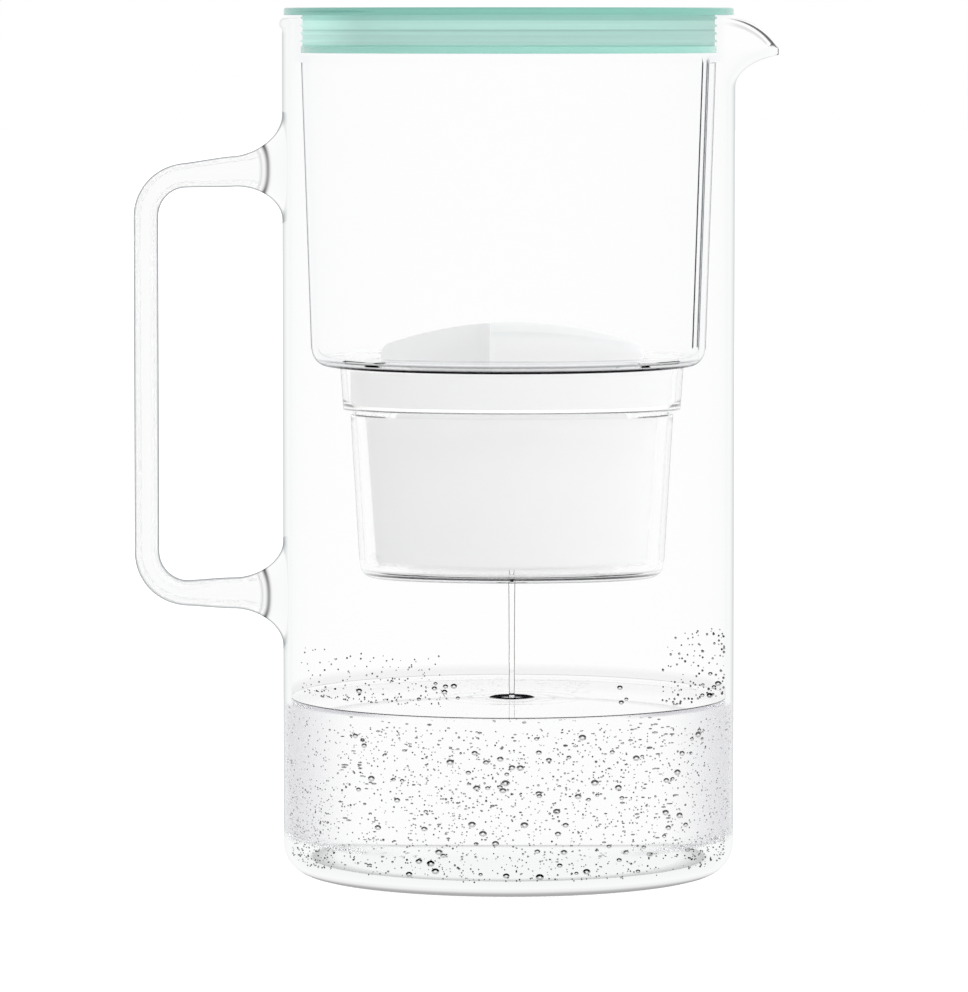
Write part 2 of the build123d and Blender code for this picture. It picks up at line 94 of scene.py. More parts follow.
# %% A mesh from whole arrays
def make_piece(name, points, faces, finish, body, nodes=(), smooth_angle=None, marks=None):
    """A mesh object from points in mm and lists of faces, turned outwards. Marks are named numbers that are
    kept at its points. A piece without a body is not attached to one."""
    mesh = bpy.data.meshes.new(name)
    mesh.from_pydata((np.asarray(points) * MM).tolist(), [], [f.tolist() for part in faces for f in part])
    for mark, values in (marks or {}).items():
        kept = mesh.attributes.new(mark, "FLOAT", "POINT")
        kept.data.foreach_set("value", np.asarray(values, np.float32))
    shape = bmesh.new()
    shape.from_mesh(mesh)
    bmesh.ops.recalc_face_normals(shape, faces=shape.faces)
    if shape.calc_volume(signed=True) < 0:
        bmesh.ops.reverse_faces(shape, faces=shape.faces)
    shape.to_mesh(mesh)
    volume = shape.calc_volume()
    shape.free()
    mesh.polygons.foreach_set("use_smooth", np.ones(len(mesh.polygons), bool))
    if smooth_angle is not None:
        mesh.set_sharp_from_angle(angle=math.radians(smooth_angle))
    mesh.materials.append(finish)
    piece = bpy.data.objects.new(name, mesh)
    bpy.context.scene.collection.objects.link(piece)
    if body:
        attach(piece, body)
    if nodes:
        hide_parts(*nodes)
    print(name, len(mesh.vertices), "points", round(volume * 1e6, 1), "cm3")
    return piece


# %% Colours and nodes
def linear(hex_colour):
    """sRGB hex to linear: c/12.92 up to 0.04045, and ((c + 0.055)/1.055)^2.4 above it."""
    c = np.array([int(hex_colour[i:i + 2], 16) for i in (1, 3, 5)]) / 255
    return (*np.where(c > 0.04045, ((c + 0.055) / 1.055) ** 2.4, c / 12.92), 1.0)


def add(tree, kind, inputs=None, **settings):
    """Adds one shader node. Settings are its own properties. Inputs are values, the sockets that feed it,
    or nodes, whose first socket feeds it."""
    made = tree.nodes.new("ShaderNode" + kind)
    for key, value in settings.items():
        setattr(made, key, value)
    for key, value in (inputs or {}).items():
        if isinstance(value, bpy.types.Node):
            value = value.outputs[0]
        if isinstance(value, bpy.types.NodeSocket):
            tree.links.new(value, made.inputs[key])
        else:
            made.inputs[key].default_value = value
    return made


def new_finish(name):
    """An empty node material and its tree."""
    finish = bpy.data.materials.new(name)
    finish.use_nodes = True
    finish.node_tree.nodes.clear()
    return finish, finish.node_tree


# %% [markdown]
# ## Camera
# The lid's top edge is a straight line in the photograph, so the camera stands level with it, 2 m away, and
# looks down by four degrees to take in the base. A long lens from that far keeps the jug's sides upright.

# %% Camera
look_down = 4.064
scene = bpy.context.scene
lens = bpy.data.cameras.new("camera")
lens.lens = 241.2
lens.sensor_width = 36.0
lens.clip_start = 0.1
lens.clip_end = 100.0
camera = bpy.data.objects.new("camera", lens)
scene.collection.objects.link(camera)
camera.location = (-7.4 * MM, -2.0, 0.256)
camera.rotation_euler = (math.radians(90 - look_down), 0, 0)
scene.camera = camera
scene.view_settings.view_transform = "Standard"
print("camera looks down by", look_down, "degrees through a", lens.lens, "mm lens")

# %% [markdown]
# ## Light
# Lamps would put hard glints on the glass, and the photograph shows hardly any, so a white room lights it.
# The world is white where the camera, a reflection or a refraction meets it. Matt surfaces get a soft light
# that is a little stronger from the right and from above, which rounds the white cartridge.

# %% World
world = bpy.data.worlds.new("white room")
world.use_nodes = True
tree = world.node_tree
tree.nodes.clear()
brighter_towards = (0.44, -0.16, 0.24)
mean_light = 0.86
way = add(tree, "TexCoord").outputs["Generated"]
across = add(tree, "VectorMath", {0: way, 1: brighter_towards}, operation="DOT_PRODUCT").outputs["Value"]
soft = add(tree, "Math", {0: across, 1: mean_light}, operation="ADD")
path = add(tree, "LightPath").outputs
seen = add(tree, "Math", {0: path["Is Camera Ray"], 1: path["Is Glossy Ray"]}, operation="MAXIMUM")
seen = add(tree, "Math", {0: seen, 1: path["Is Transmission Ray"]}, operation="MAXIMUM")
direct = add(tree, "Math", {0: path["Diffuse Depth"], 1: 0.5}, operation="LESS_THAN")
backdrop = add(tree, "Math", {0: seen, 1: direct}, operation="MULTIPLY")
strength = add(tree, "Mix", {0: backdrop, 2: soft, 3: 1.0}, data_type="FLOAT")
room = add(tree, "Background", {"Color": linear("#FFFFFF"), "Strength": strength})
add(tree, "OutputWorld", {"Surface": room})
scene.world = world
print("world nodes", len(tree.nodes))

# %% [markdown]
# ## Table
# The jug stands on matt white paint, which keeps its shadow. Where the glass mirrors the table, or where it
# is seen through a clear skin, it is plain white like the room, or each skin would show a grey band of it.

# %% Floor
floor_paint, tree = new_finish("matt white table")
where = add(tree, "TexCoord").outputs["Object"]
grain = add(tree, "TexNoise", {"Vector": where, "Scale": 9 / CM, "Detail": 2.0}).outputs["Fac"]
fine = add(tree, "Bump", {"Height": grain, "Strength": 0.05, "Distance": 0.2 * MM})
path = add(tree, "LightPath").outputs
through = add(tree, "Math", {0: path["Is Glossy Ray"], 1: path["Is Transmission Ray"]}, operation="MAXIMUM")
behind = add(tree, "Math", {0: path["Transparent Depth"], 1: path["Is Camera Ray"]}, operation="MULTIPLY")
behind = add(tree, "Math", {0: behind, 1: 0.5}, operation="GREATER_THAN")
through = add(tree, "Math", {0: through, 1: behind}, operation="MAXIMUM")
matt = add(tree, "BsdfPrincipled", {
    "Base Color": linear("#F4F4F4"), "Roughness": 0.8, "Specular IOR Level": 0.1, "Normal": fine,
    "Emission Color": linear("#FFFFFF"), "Emission Strength": 0.32})
lit = add(tree, "Emission", {"Color": linear("#FFFFFF"), "Strength": 1.0})
both = add(tree, "MixShader", {0: through, 1: matt, 2: lit})
add(tree, "OutputMaterial", {"Surface": both})
mesh = bpy.data.meshes.new("floor")
mesh.from_pydata([(-6, -6, 0), (6, -6, 0), (6, 14, 0), (-6, 14, 0)], [], [(0, 1, 2, 3)])
mesh.materials.append(floor_paint)
floor = bpy.data.objects.new("floor", mesh)
floor.location = (0, 0, -0.3 * MM)
scene.collection.objects.link(floor)
print("floor", [round(v, 1) for v in floor.dimensions])

# %% [markdown]
# ## Borosilicate glass
# The jug is blown from borosilicate tube. It is clear, with an IOR of 1.47, and gets its only colour from
# the depth of glass that the light crosses. At a rounded edge the light is turned away, so the edge draws a
# thin grey line. In a room that is white on all sides that line would be lost, so it is painted: the skin
# turns grey with the angle at which it is seen, a painted shade like the one a lit screen with a darker room
# beside it gives. The dark lines that the marks draw on the clear skins are painted shade as well.

# %% Clear finishes
def clear_finish(name, ior, edge_hex, edge_range, depth_hex, density, thin=True, fine_hex="#B4B8BA",
                 deep=3.5, pane=False):
    """A clear body that bends light, and whose depth takes a little of it. Skin that turns away from the
    eye is painted grey over the edge range, a painted shade, and where the wall is thin it stops bending
    light there. Light on its way to a matt surface goes straight through, and so does light that has been
    bent often (deep). The point marks are: calm, no edge; even, no bending; fine, a painted edge that starts
    earlier and is darker; line, a painted dark line on the side that faces the eye, or on the far side where
    it is negative; way, bending and edge only where light comes in (1) or goes out (-1) through the skin. At
    most nine plain see-through skins may lie in one line of sight, so a pane is a refraction without a bend
    instead."""
    finish, tree = new_finish(name)
    calm, even, fine, line, way = (add(tree, "Attribute", attribute_name=mark).outputs["Fac"]
                                   for mark in ("calm", "even", "fine", "line", "way"))
    path = add(tree, "LightPath").outputs
    diffuse = add(tree, "Math", {0: path["Diffuse Depth"], 1: 0.5}, operation="GREATER_THAN")
    lit = add(tree, "Math", {0: diffuse, 1: path["Is Shadow Ray"]}, operation="MAXIMUM")
    bent_often = add(tree, "Math", {0: path["Transmission Depth"], 1: deep}, operation="GREATER_THAN")

    side = add(tree, "NewGeometry").outputs["Backfacing"]  # 1 - 2 x: 1 where skin faces the eye, else -1
    side = add(tree, "Math", {0: side, 1: 2.0}, operation="MULTIPLY")
    side = add(tree, "Math", {0: 1.0, 1: side}, operation="SUBTRACT")
    leaving = add(tree, "Math", {0: way, 1: side}, operation="MULTIPLY")
    leaving = add(tree, "Math", {0: leaving, 1: -0.5}, operation="LESS_THAN")
    line = add(tree, "Math", {0: line, 1: side}, operation="MULTIPLY")
    line = add(tree, "Math", {0: line, 1: 0.0}, operation="MAXIMUM")

    facing = add(tree, "LayerWeight", {"Blend": 0.5}).outputs["Facing"]
    early = add(tree, "Math", {0: fine, 1: 0.05}, operation="MULTIPLY")
    facing = add(tree, "Math", {0: facing, 1: early}, operation="ADD")
    edge = add(tree, "MapRange", {"Value": facing, "From Min": edge_range[0], "From Max": edge_range[1]},
               interpolation_type="SMOOTHSTEP")
    for kept_from in (calm, leaving):
        kept = add(tree, "Math", {0: 1.0, 1: kept_from}, operation="SUBTRACT")
        edge = add(tree, "Math", {0: edge, 1: kept}, operation="MULTIPLY")

    straight = add(tree, "Math", {0: even, 1: line}, operation="MAXIMUM")
    passing = add(tree, "Math", {0: bent_often, 1: leaving}, operation="MAXIMUM")
    straight = add(tree, "Math", {0: straight, 1: passing}, operation="MAXIMUM")
    if thin:
        straight = add(tree, "Math", {0: straight, 1: edge}, operation="MAXIMUM")
    # Painted shade: the edge grey, darker where fine, and the near-black of the line.
    edge_grey = add(tree, "Mix", {0: fine, 6: linear(edge_hex), 7: linear(fine_hex)}, data_type="RGBA")
    grey = add(tree, "Mix", {0: edge, 6: linear("#FFFFFF"), 7: edge_grey.outputs[2]}, data_type="RGBA")
    grey = add(tree, "Mix", {0: line, 6: grey.outputs[2], 7: linear("#1C1C20")}, data_type="RGBA").outputs[2]
    skin = add(tree, "BsdfPrincipled", {"Base Color": grey, "Roughness": 0.0, "IOR": ior,
                                        "Transmission Weight": 1.0})
    if pane:
        veil = add(tree, "BsdfRefraction", {"Color": grey, "Roughness": 0.0, "IOR": 1.0})
    else:
        veil = add(tree, "BsdfTransparent", {"Color": grey})
    both = add(tree, "MixShader", {0: straight, 1: skin, 2: veil})
    bare = add(tree, "BsdfTransparent", {"Color": linear("#FFFFFF")})
    both = add(tree, "MixShader", {0: lit, 1: both, 2: bare})
    depth = add(tree, "VolumeAbsorption", {"Color": linear(depth_hex), "Density": density})
    add(tree, "OutputMaterial", {"Surface": both, "Volume": depth})
    return finish


glass = clear_finish("borosilicate glass, blown", 1.47, "#CDD1D2", (0.78, 0.98), "#B8C4C4", 4.0, pane=True)
print(glass.name)

# %% [markdown]
# ## The jug
# The real jug is blown: a straight tube closed at the foot, with a rolled rim and a spout drawn out of it.
# Here it is one skin of rings: out along the underside, up the wall, over the rim, and down the inside. A
# Boolean of two tubes would leave a hard edge at the spout, and the rings can swell there instead. The
# height of the rim falls with the spout, so the rings above the handle are squeezed to end on it.

# %% Sizes of the jug, as in the CAD model
jug_radius = 68.0
jug_wall = 2.5
jug_height = 257.8
foot_radius = 9.0
base = 4.5
inner_bend = 6.5
bend_top = base + inner_bend
bore = jug_radius - jug_wall
floor_radius = bore - inner_bend
spout_reach = 13.1
spout_root = 236.9
lip_drop_x, lip_drop_radius = 66.0, 17.5
half_angle = math.radians(27)
end_turn = math.radians(70)
sides = 320
turn = np.linspace(0, 2 * np.pi, sides, endpoint=False)
from_spout = (turn + np.pi) % (2 * np.pi) - np.pi
bell = np.where(np.abs(from_spout) < half_angle, np.cos(np.pi / 2 * from_spout / half_angle) ** 2, 0.0)
print("spout over", round(math.degrees(2 * half_angle)), "degrees")


# %% The spout's swell and the lip's height
def smooth_step(share):
    """3 s^2 - 2 s^3 with s kept between 0 and 1."""
    s = np.clip(share, 0, 1)
    return s * s * (3 - 2 * s)


def swell(z, drop):
    """0 to 1 as the wall turns out along an ellipse: (1 - cos t)/(1 - cos 70), where sin t/sin 70 is the
    share of the drop that lies below."""
    share = np.clip((z - spout_root) / drop, 0, 1)
    t = np.arcsin(share * math.sin(end_turn))
    return (1 - np.cos(t)) / (1 - math.cos(end_turn))


def outer_radius(z):
    """Tube, plus the spout's swell times its bell, plus a bead near the rim where there is no spout."""
    out = spout_reach * swell(z, 9.8) * bell
    bead = 0.8 * smooth_step((z - 254.3) / 1.0)
    return jug_radius + out + bead * np.clip(1 - out / 2, 0, 1)


def inner_radius(z):
    """Bore of the tube, plus the swell of the channel."""
    return bore + (spout_reach + 0.6) * swell(z, 12.0) * bell


lip_x = (jug_radius + spout_reach * bell) * np.cos(turn)
past = np.clip(lip_x - lip_drop_x, 0, 17.4)
lip_arc = jug_height - lip_drop_radius + np.sqrt(lip_drop_radius ** 2 - past ** 2)
lip_height = np.where(lip_x > lip_drop_x, lip_arc, jug_height)
print("lip falls to", round(float(lip_height.min()), 1), "mm")


# %% Heights of the rings on the outer wall
def ring(radius, z):
    """One ring about the jug's axis; the radius and the height may change round it."""
    radius = np.broadcast_to(radius, turn.shape)
    return np.stack([radius * np.cos(turn), radius * np.sin(turn), np.broadcast_to(z, turn.shape)], axis=-1)


def bend_ring(reach, angle, slack=0.0):
    """A ring of the round corner inside the base: straight down at 0 and level at a quarter turn. The slack
    makes the corner wider."""
    bend = inner_bend + slack
    return ring(reach + bend * math.sin(angle), bend_top - bend * math.cos(angle))


handle_low = 84.6
handle_top = 212.9
root_half_height = 17.0
wet_end, dry_start = 52.2, 52.9  # the glass goes from wet to dry here
foot_rows, film_rows, root_rows, grip_rows, rim_rows = 20, 6, 16, 41, 45
low_root = (handle_low - root_half_height, handle_low + root_half_height)
top_root = (handle_top - root_half_height, handle_top + root_half_height)
wall_heights = np.concatenate([
    np.linspace(foot_radius, wet_end, foot_rows),
    np.linspace(dry_start, low_root[0], film_rows + 1)[:-1],
    np.linspace(*low_root, root_rows + 1)[:-1],
    np.linspace(low_root[1], top_root[0], grip_rows + 1)[:-1],
    np.linspace(*top_root, root_rows + 1),
])
low_row = foot_rows + film_rows
top_row = low_row + root_rows + grip_rows
shoulder = wall_heights[-1]
print("outer wall", len(wall_heights), "rings, handle roots from rings", low_row, "and", top_row)

# %% Rings of the jug
rim_half = (outer_radius(lip_height) - inner_radius(lip_height)) / 2
rim_drop = np.minimum(rim_half, 1.5)
rim_base = lip_height - rim_drop
flat_foot = jug_radius - foot_radius
rings = [ring(r, 0.0) for r in np.linspace(0.12, 1.0, 8) * flat_foot]
for a in np.linspace(0, np.pi / 2, 10)[1:-1]:
    rings.append(ring(flat_foot + foot_radius * math.sin(a), foot_radius - foot_radius * math.cos(a)))
wall_start = len(rings)
rings += [ring(jug_radius, z) for z in wall_heights]
for share in np.linspace(0, 1, rim_rows + 1)[1:]:
    z = shoulder + (rim_base - shoulder) * share
    rings.append(ring(outer_radius(z), z))
middle = (outer_radius(rim_base) + inner_radius(rim_base)) / 2
half = outer_radius(rim_base) - middle
for a in np.linspace(0, np.pi, 12)[1:-1]:
    rings.append(ring(middle + half * math.cos(a), rim_base + rim_drop * math.sin(a)))
for share in np.linspace(1, 0, rim_rows + 1):
    z = shoulder + (rim_base - shoulder) * share
    rings.append(ring(inner_radius(z), z))
inside_heights = [*np.linspace(shoulder, 57.0, 46)[1:], 56.4, 55.0, 53.6, 53.0,
                  *np.linspace(52.3, bend_top, 20)]
rings += [ring(bore, z) for z in inside_heights]
rings += [bend_ring(floor_radius, a) for a in np.linspace(np.pi / 2, 0, 9)[1:]]
rings += [ring(floor_radius * s, base) for s in np.linspace(1.0, 0.12, 8)[1:]]
jug_rings = np.array(rings)
print("jug rings", jug_rings.shape)

# %% [markdown]
# ## The handle
# The loop is a bent glass bar whose ends are melted into the wall, so the two share one skin with a soft
# fillet and no seam. A swept curve pushed into the wall would show its hard edge through the clear glass.
# So the wall's grid gets a rectangular hole at each root, and the handle is a sleeve of rings that starts
# as the edge of one hole, draws in to the bar, follows the loop and opens out into the other hole.

# %% The holes in the wall's grid
hole_half_sides = 13
hole_sides = 2 * hole_half_sides
back = sides // 2
left, right = back - hole_half_sides, back + hole_half_sides
upper_low = wall_start + top_row
upper_high = upper_low + root_rows
lower_low = wall_start + low_row
lower_high = lower_low + root_rows
edge_rows = np.concatenate([np.full(hole_sides, upper_low), np.arange(upper_low, upper_high),
                            np.full(hole_sides, upper_high), np.arange(upper_high, upper_low, -1)])
edge_sides = np.concatenate([np.arange(left, right), np.full(root_rows, right), np.arange(right, left, -1),
                             np.full(root_rows, left)])
upper_edge = edge_rows * sides + edge_sides
lower_edge = (lower_high - (edge_rows - upper_low)) * sides + edge_sides
edge_across = jug_radius * np.sin(turn[edge_sides])
edge_up = jug_rings[edge_rows, edge_sides, 2] - handle_top
edge_angle = np.arctan2(edge_up / root_half_height, edge_across / np.abs(edge_across).max())
edge_cos, edge_sin = np.cos(edge_angle), np.sin(edge_angle)
print("hole edge", len(upper_edge), "points")

# %% The loop's route: an arm that falls a little, a bend, the grip, a bend and a level arm
tilt = math.atan2(2.6, 32.1)
start_reach = 14.0
bend = 12.5
grip_x, grip_top, grip_low = -109.1, 209.6, 84.6
arm_steps, bend_steps, grip_steps = 14, 18, 44
start_x = -jug_radius - start_reach
start = np.array([start_x, 0.0, grip_top - (grip_x - start_x) * math.tan(tilt)])
top_turn = np.pi / 2 - tilt
top_corner = bend * math.tan(top_turn / 2)
top_arm = (start_x - grip_x) / math.cos(tilt) - top_corner
grip_run = grip_top - grip_low - top_corner - bend
low_arm = start_x - grip_x - bend
bend_shares = (np.arange(bend_steps) + 0.5) / bend_steps
headings = np.concatenate([
    np.full(arm_steps, tilt), tilt + top_turn * bend_shares, np.full(grip_steps, np.pi / 2),
    np.pi / 2 + np.pi / 2 * bend_shares, np.full(arm_steps, np.pi),
])
steps = np.concatenate([
    np.full(arm_steps, top_arm / arm_steps),
    np.full(bend_steps, 2 * bend * math.sin(top_turn / bend_steps / 2)),
    np.full(grip_steps, grip_run / grip_steps),
    np.full(bend_steps, 2 * bend * math.sin(np.pi / bend_steps / 4)),
    np.full(arm_steps, low_arm / arm_steps),
])
moves = np.stack([-np.cos(headings), np.zeros_like(headings), -np.sin(headings)], axis=-1) * steps[:, None]
route = np.vstack([start, start + np.cumsum(moves, axis=0)])
facing = np.concatenate([[tilt], (headings[1:] + headings[:-1]) / 2, [np.pi]])
outward = np.stack([-np.sin(facing), np.zeros_like(facing), np.cos(facing)], axis=-1)
print("loop ends at", np.round(route[-1], 2))

# %% Where the handle melts into the wall
half_width, half_thick, root_thick = 9.0, 3.6, 4.55
root_half_y, root_half_z = 15.6, 15.8
bar_even = 0.8
flat_across = np.sign(edge_cos) * np.abs(edge_cos) ** 0.75
flat_up = np.sign(edge_sin) * np.abs(edge_sin) ** 0.75


def root_rings(z_centre, way_up, lean):
    """Rings from the hole's edge to the bar. On the wall they draw in from the rectangle to an oval; then
    each half size and the height over the wall follow a cubic Bezier curve, which is level at the wall and
    straight at the bar. The marks let light straight through the root, and paint a narrow dark crescent
    round its neck, painted shade where the glass turns light away."""
    made, lines, evens = [], [], []
    for share in (0.35, 0.7, 1.0):
        y = edge_across * (1 - share) + root_half_y * edge_cos * share
        w = edge_up * (1 - share) + root_half_z * edge_sin * share
        made.append(np.stack([-np.sqrt(jug_radius ** 2 - y ** 2), y, z_centre + way_up * w], axis=-1))
        lines.append(np.zeros(len(y)))
        evens.append(np.ones(len(y)))
    for q in np.linspace(1, 0, 46)[1:]:
        curve = np.array([(1 - q) ** 3, 3 * q * (1 - q) ** 2, 3 * q ** 2 * (1 - q), q ** 3])
        y = curve @ (half_width, 9.3, 12.6, root_half_y) * (flat_across * (1 - q) + edge_cos * q)
        w = curve @ (root_thick, 5.1, 10.6, root_half_z) * (flat_up * (1 - q) + edge_sin * q)
        height = curve @ (start_reach, 6.0, 0.0, 0.0)
        wall = np.sqrt(jug_radius ** 2 - y ** 2) * q ** 2 + jug_radius * (1 - q ** 2)
        made.append(np.stack([-wall - height, y, z_centre + way_up * w + lean * height], axis=-1))
        neck = 4.2 + 1.5 * edge_sin ** 2
        lines.append((0.7 + 0.25 * edge_sin ** 2) * np.exp(-((height - neck) / 0.6) ** 2)
                     + 0.25 * np.exp(-((height - neck - 1.9) / 0.35) ** 2))
        evens.append(np.full(len(y), bar_even + (1 - bar_even) * smooth_step((10.0 - height) / 4.0)))
    return made, lines, evens


print("root", 2 * root_half_y, "by", 2 * root_half_z, "mm")

# %% The sleeve from root to root
upper = root_rings(handle_top, 1, -math.tan(tilt))
lower = root_rings(handle_low, -1, 0)
thin_x = -100.0  # the bar thins out from its roots to here
near_root = smooth_step((route[:, 0] - thin_x) / (start_x - thin_x))
thickness = half_thick + (root_thick - half_thick) * near_root
bar = (route[:, None, :] + half_width * flat_across[None, :, None] * np.array([0, 1, 0])
       + thickness[:, None, None] * flat_up[None, :, None] * outward[:, None, :])[1:-1]
sleeve = np.array(upper[0] + list(bar) + lower[0][::-1])
sleeve_line = np.array(upper[1] + list(np.zeros(bar.shape[:2])) + lower[1][::-1])
sleeve_even = np.array(upper[2] + list(np.full(bar.shape[:2], bar_even)) + lower[2][::-1])
print("sleeve", sleeve.shape)

# %% One skin for jug and handle
body_faces = ring_faces(len(jug_rings), sides)
face_row, face_side = np.divmod(np.arange(len(body_faces)), sides)
in_upper = (face_row >= upper_low) & (face_row < upper_high)
in_lower = (face_row >= lower_low) & (face_row < lower_high)
in_hole = (face_side >= left) & (face_side < right) & (in_upper | in_lower)
count = len(jug_rings) * sides
around = len(upper_edge)
first_ring = np.arange(around) + count
last_ring = first_ring + (len(sleeve) - 1) * around
join_top = np.stack([upper_edge, np.roll(upper_edge, -1), np.roll(first_ring, -1), first_ring], axis=-1)
join_low = np.stack([last_ring, np.roll(last_ring, -1), np.roll(lower_edge, -1), lower_edge], axis=-1)
pole = count + len(sleeve) * around
points = np.vstack([jug_rings.reshape(-1, 3), sleeve.reshape(-1, 3), [[0, 0, 0], [0, 0, base]]])
faces = [body_faces[~in_hole], ring_faces(len(sleeve), around) + count, join_top, join_low,
         fan_faces(np.arange(sides), pole), fan_faces(np.arange(sides) + count - sides, pole + 1)]
print("jug and handle", len(points), "points")

# %% Where the jug's lines are drawn
# Each line is a painted dark line, shade that a bend of the glass would throw; it has a strength up to 1,
# and places in mm between which it shows.
height = jug_rings[:, :, 2].ravel()
away = np.hypot(jug_rings[:, :, 0], jug_rings[:, :, 1]).ravel()
ring_number = np.arange(count) // sides - wall_start - len(wall_heights)  # 0 at the start of the rim
bells = np.tile(bell, len(jug_rings))
in_spout = np.tile(smooth_step((bell - 0.2) * 3), len(jug_rings)) * smooth_step((height - spout_root) / 4.0)
inside = (ring_number >= rim_rows + 5) * 1.0
dry = smooth_step((height - wet_end) / 0.7)
bead = smooth_step((height - 253.0) / 1.0)
at_foot = smooth_step((14.0 - height) / 2.0)
foot_line = 0.6 * smooth_step((2.6 - height) / 1.6) * (away > 58) * (inside < 1)
floor_line = 0.4 * np.exp(-((away - floor_radius) / 0.8) ** 2) * inside * at_foot
film = 0.10 * inside * smooth_step((height - 53.0) / 0.5) * smooth_step((56.6 - height) / 0.5)
lip = (ring_number >= rim_rows + 3) & (ring_number <= rim_rows + 6)
lip_line = 0.85 * lip * in_spout * (1 - smooth_step((bells - 0.99) / 0.008))
tip = (ring_number >= rim_rows - 5) & (ring_number <= rim_rows + 2)
tip_line = 0.8 * tip * smooth_step((bells - 0.965) / 0.02)
channel = (ring_number >= rim_rows + 10) & (ring_number <= rim_rows + 11)
channel_line = 0.22 * channel * in_spout * (bells < 0.93)
drawn = foot_line + floor_line + film + lip_line + channel_line + tip_line
skin_calm = np.maximum.reduce([0.8 * at_foot, inside, 0.5 * bead * (1 - in_spout)])
even = sleeve_even.ravel()
none = np.zeros(even.size)
marks = {"line": np.concatenate([drawn, sleeve_line.ravel(), [0, 0]]),
         "even": np.concatenate([np.maximum(at_foot, dry), even, [1, 1]]),
         "way": np.concatenate([1 - 2 * inside, none, [1, -1]]),
         "fine": np.concatenate([-1.2 * in_spout, 1 - 3 * (even - bar_even), [0, 0]]),
         "calm": np.concatenate([skin_calm, none, [1, 1]])}
make_piece("jug_with_handle", points, faces, glass, "jug", ("jug_glass", "jug_handle"),
           marks=marks)

# %% [markdown]
# ## The hopper
# One clear moulding of SAN: a flange that lies on the glass, a collar, a tapered wall with an air groove on
# the spout side, a flat floor, and a stepped oval well that holds the cartridge. Its section is one closed
# line, so it is swept round as a loop of rings. Each ring is a circle about the jug or an oval about the
# well, and rings can go evenly from one to the other, which a Spin can't do.

# %% Clear moulded plastic
clear_plastic = clear_finish("SAN, clear, moulded", 1.57, "#B4B8BC", (0.86, 0.98), "#BFC6D2", 3.0,
                             fine_hex="#7C8084", deep=4.5)
print(clear_plastic.name)

# %% Rings of the hopper
hopper_sides = 320
spread = np.linspace(0, 2 * np.pi, hopper_sides, endpoint=False)
course = spread - 0.72 * np.sin(spread)  # closer together at the groove, where the shape changes fast
well_x = 1.0
rim_half_x, rim_half_y = 48.6, 31.0


def circle(radius, z, x=0.0):
    """Circle about the jug's axis, or about another upright axis at x."""
    radius = np.broadcast_to(radius, course.shape)
    return np.stack([x + radius * np.cos(course), radius * np.sin(course),
                     np.full(hopper_sides, z)], axis=-1)


def nipple(radius, z):
    """Circle about the well's axis."""
    return circle(radius, z, well_x)


def oval(grow, z):
    """Ellipse about the well's axis; grow is measured outwards from the cartridge's rim."""
    return np.stack([well_x + (rim_half_x + grow) * np.cos(course), (rim_half_y + grow) * np.sin(course),
                     np.full(hopper_sides, z)], axis=-1)


def between(one, other, shares):
    """Rings that go evenly from one ring to another."""
    return [one * (1 - s) + other * s for s in shares]


print("hopper rings have", hopper_sides, "points")

# %% The tapered wall and its groove
well_low, well_floor = 89.4, 91.0
step_low, step_top = 139.0, 140.6
floor_low, floor_top = 154.3, 156.3
corner_z = 158.8
wall_top, collar_floor = 244.5, 246.5
flange_top = 258.6
outer_rod, inner_rod = 6.0, 8.0


def hopper_radius(z):
    """Outside of the tapered wall: 3 mm wider at its top than at the floor."""
    return 59.3 + 3.0 * (z - floor_low) / (wall_top - floor_low)


def grooved(radius, z, rod):
    """The smaller of the wall's radius and the near side of an upright rod that presses the groove into
    it."""
    centre = hopper_radius(z) + 3.8
    inside = rod ** 2 - (centre * np.sin(course)) ** 2
    near = centre * np.cos(course) - np.sqrt(np.maximum(inside, 0))
    dent = np.where((inside > 0) & (np.cos(course) > 0), np.maximum(radius - near, 0), 0)
    return radius - dent


print("wall", wall_top - floor_low, "mm high")

# %% The section outside, from the nipple up to the wall's top
section, ring_marks = [], []
arc = np.linspace(0, np.pi / 2, 7)
fine_arc = np.linspace(0, np.pi / 2, 13)[1:]
wall_z = np.linspace(corner_z, 244.2, 36)


def put(rings, line=0.0, calm=0.0, even=0.0, fine=0.0):
    """Adds rings to the section with their marks; fine only holds near the groove."""
    section.extend(rings)
    ring_marks.extend([(line, calm, even, fine)] * len(rings))


well_edge = nipple(4.9, well_low)
put([nipple(r, z) for r, z in ((1.1, 88.1), (1.25, 88.0), (4.1, 88.0), (4.4, 88.25), (4.4, 89.0))], calm=1)
put([well_edge] + between(well_edge, oval(-6.9, well_low), np.linspace(0, 1, 8)[1:]), calm=1)
# The line strengths on the well's round foot, and below on the floor's edge and its corner, paint dark
# lines: painted shade where the bends of the clear plastic turn light away.
for a, line in zip(fine_arc, (0.45, 0.45, 0.45, 0.2, 0.0, 0.95, 0.8, 0.0, 0.35, 0.0, 0.0, 0.0)):
    put([oval(-6.9 + 4.0 * math.sin(a), well_low + 4.0 - 4.0 * math.cos(a))], line, 0.5, 1)
put([oval(-2.9 + 3.0 * (z - well_low) / 51.2, z) for z in np.linspace(95.0, 138.4, 14)])
put([oval(grow, z) for grow, z in ((0.1, 138.85), (0.5, step_low), (1.7, step_low))], 0.03, 1, 1)
put([oval(2.1, 139.3), oval(2.13, 139.8)], 0.0, 1, 1)
put([oval(2.1 + 1.2 * (z - step_low) / 17.3, z) for z in np.linspace(141.0, 153.6, 6)])
put([oval(3.25, 154.05), oval(3.5, floor_low)], 0.0, 1)
floor_edge = circle(54.8, 153.5)
put(between(oval(3.5, floor_low), floor_edge, (0.4, 0.8)), 0.0, 1)
put([floor_edge], 1.0, 1, 1)
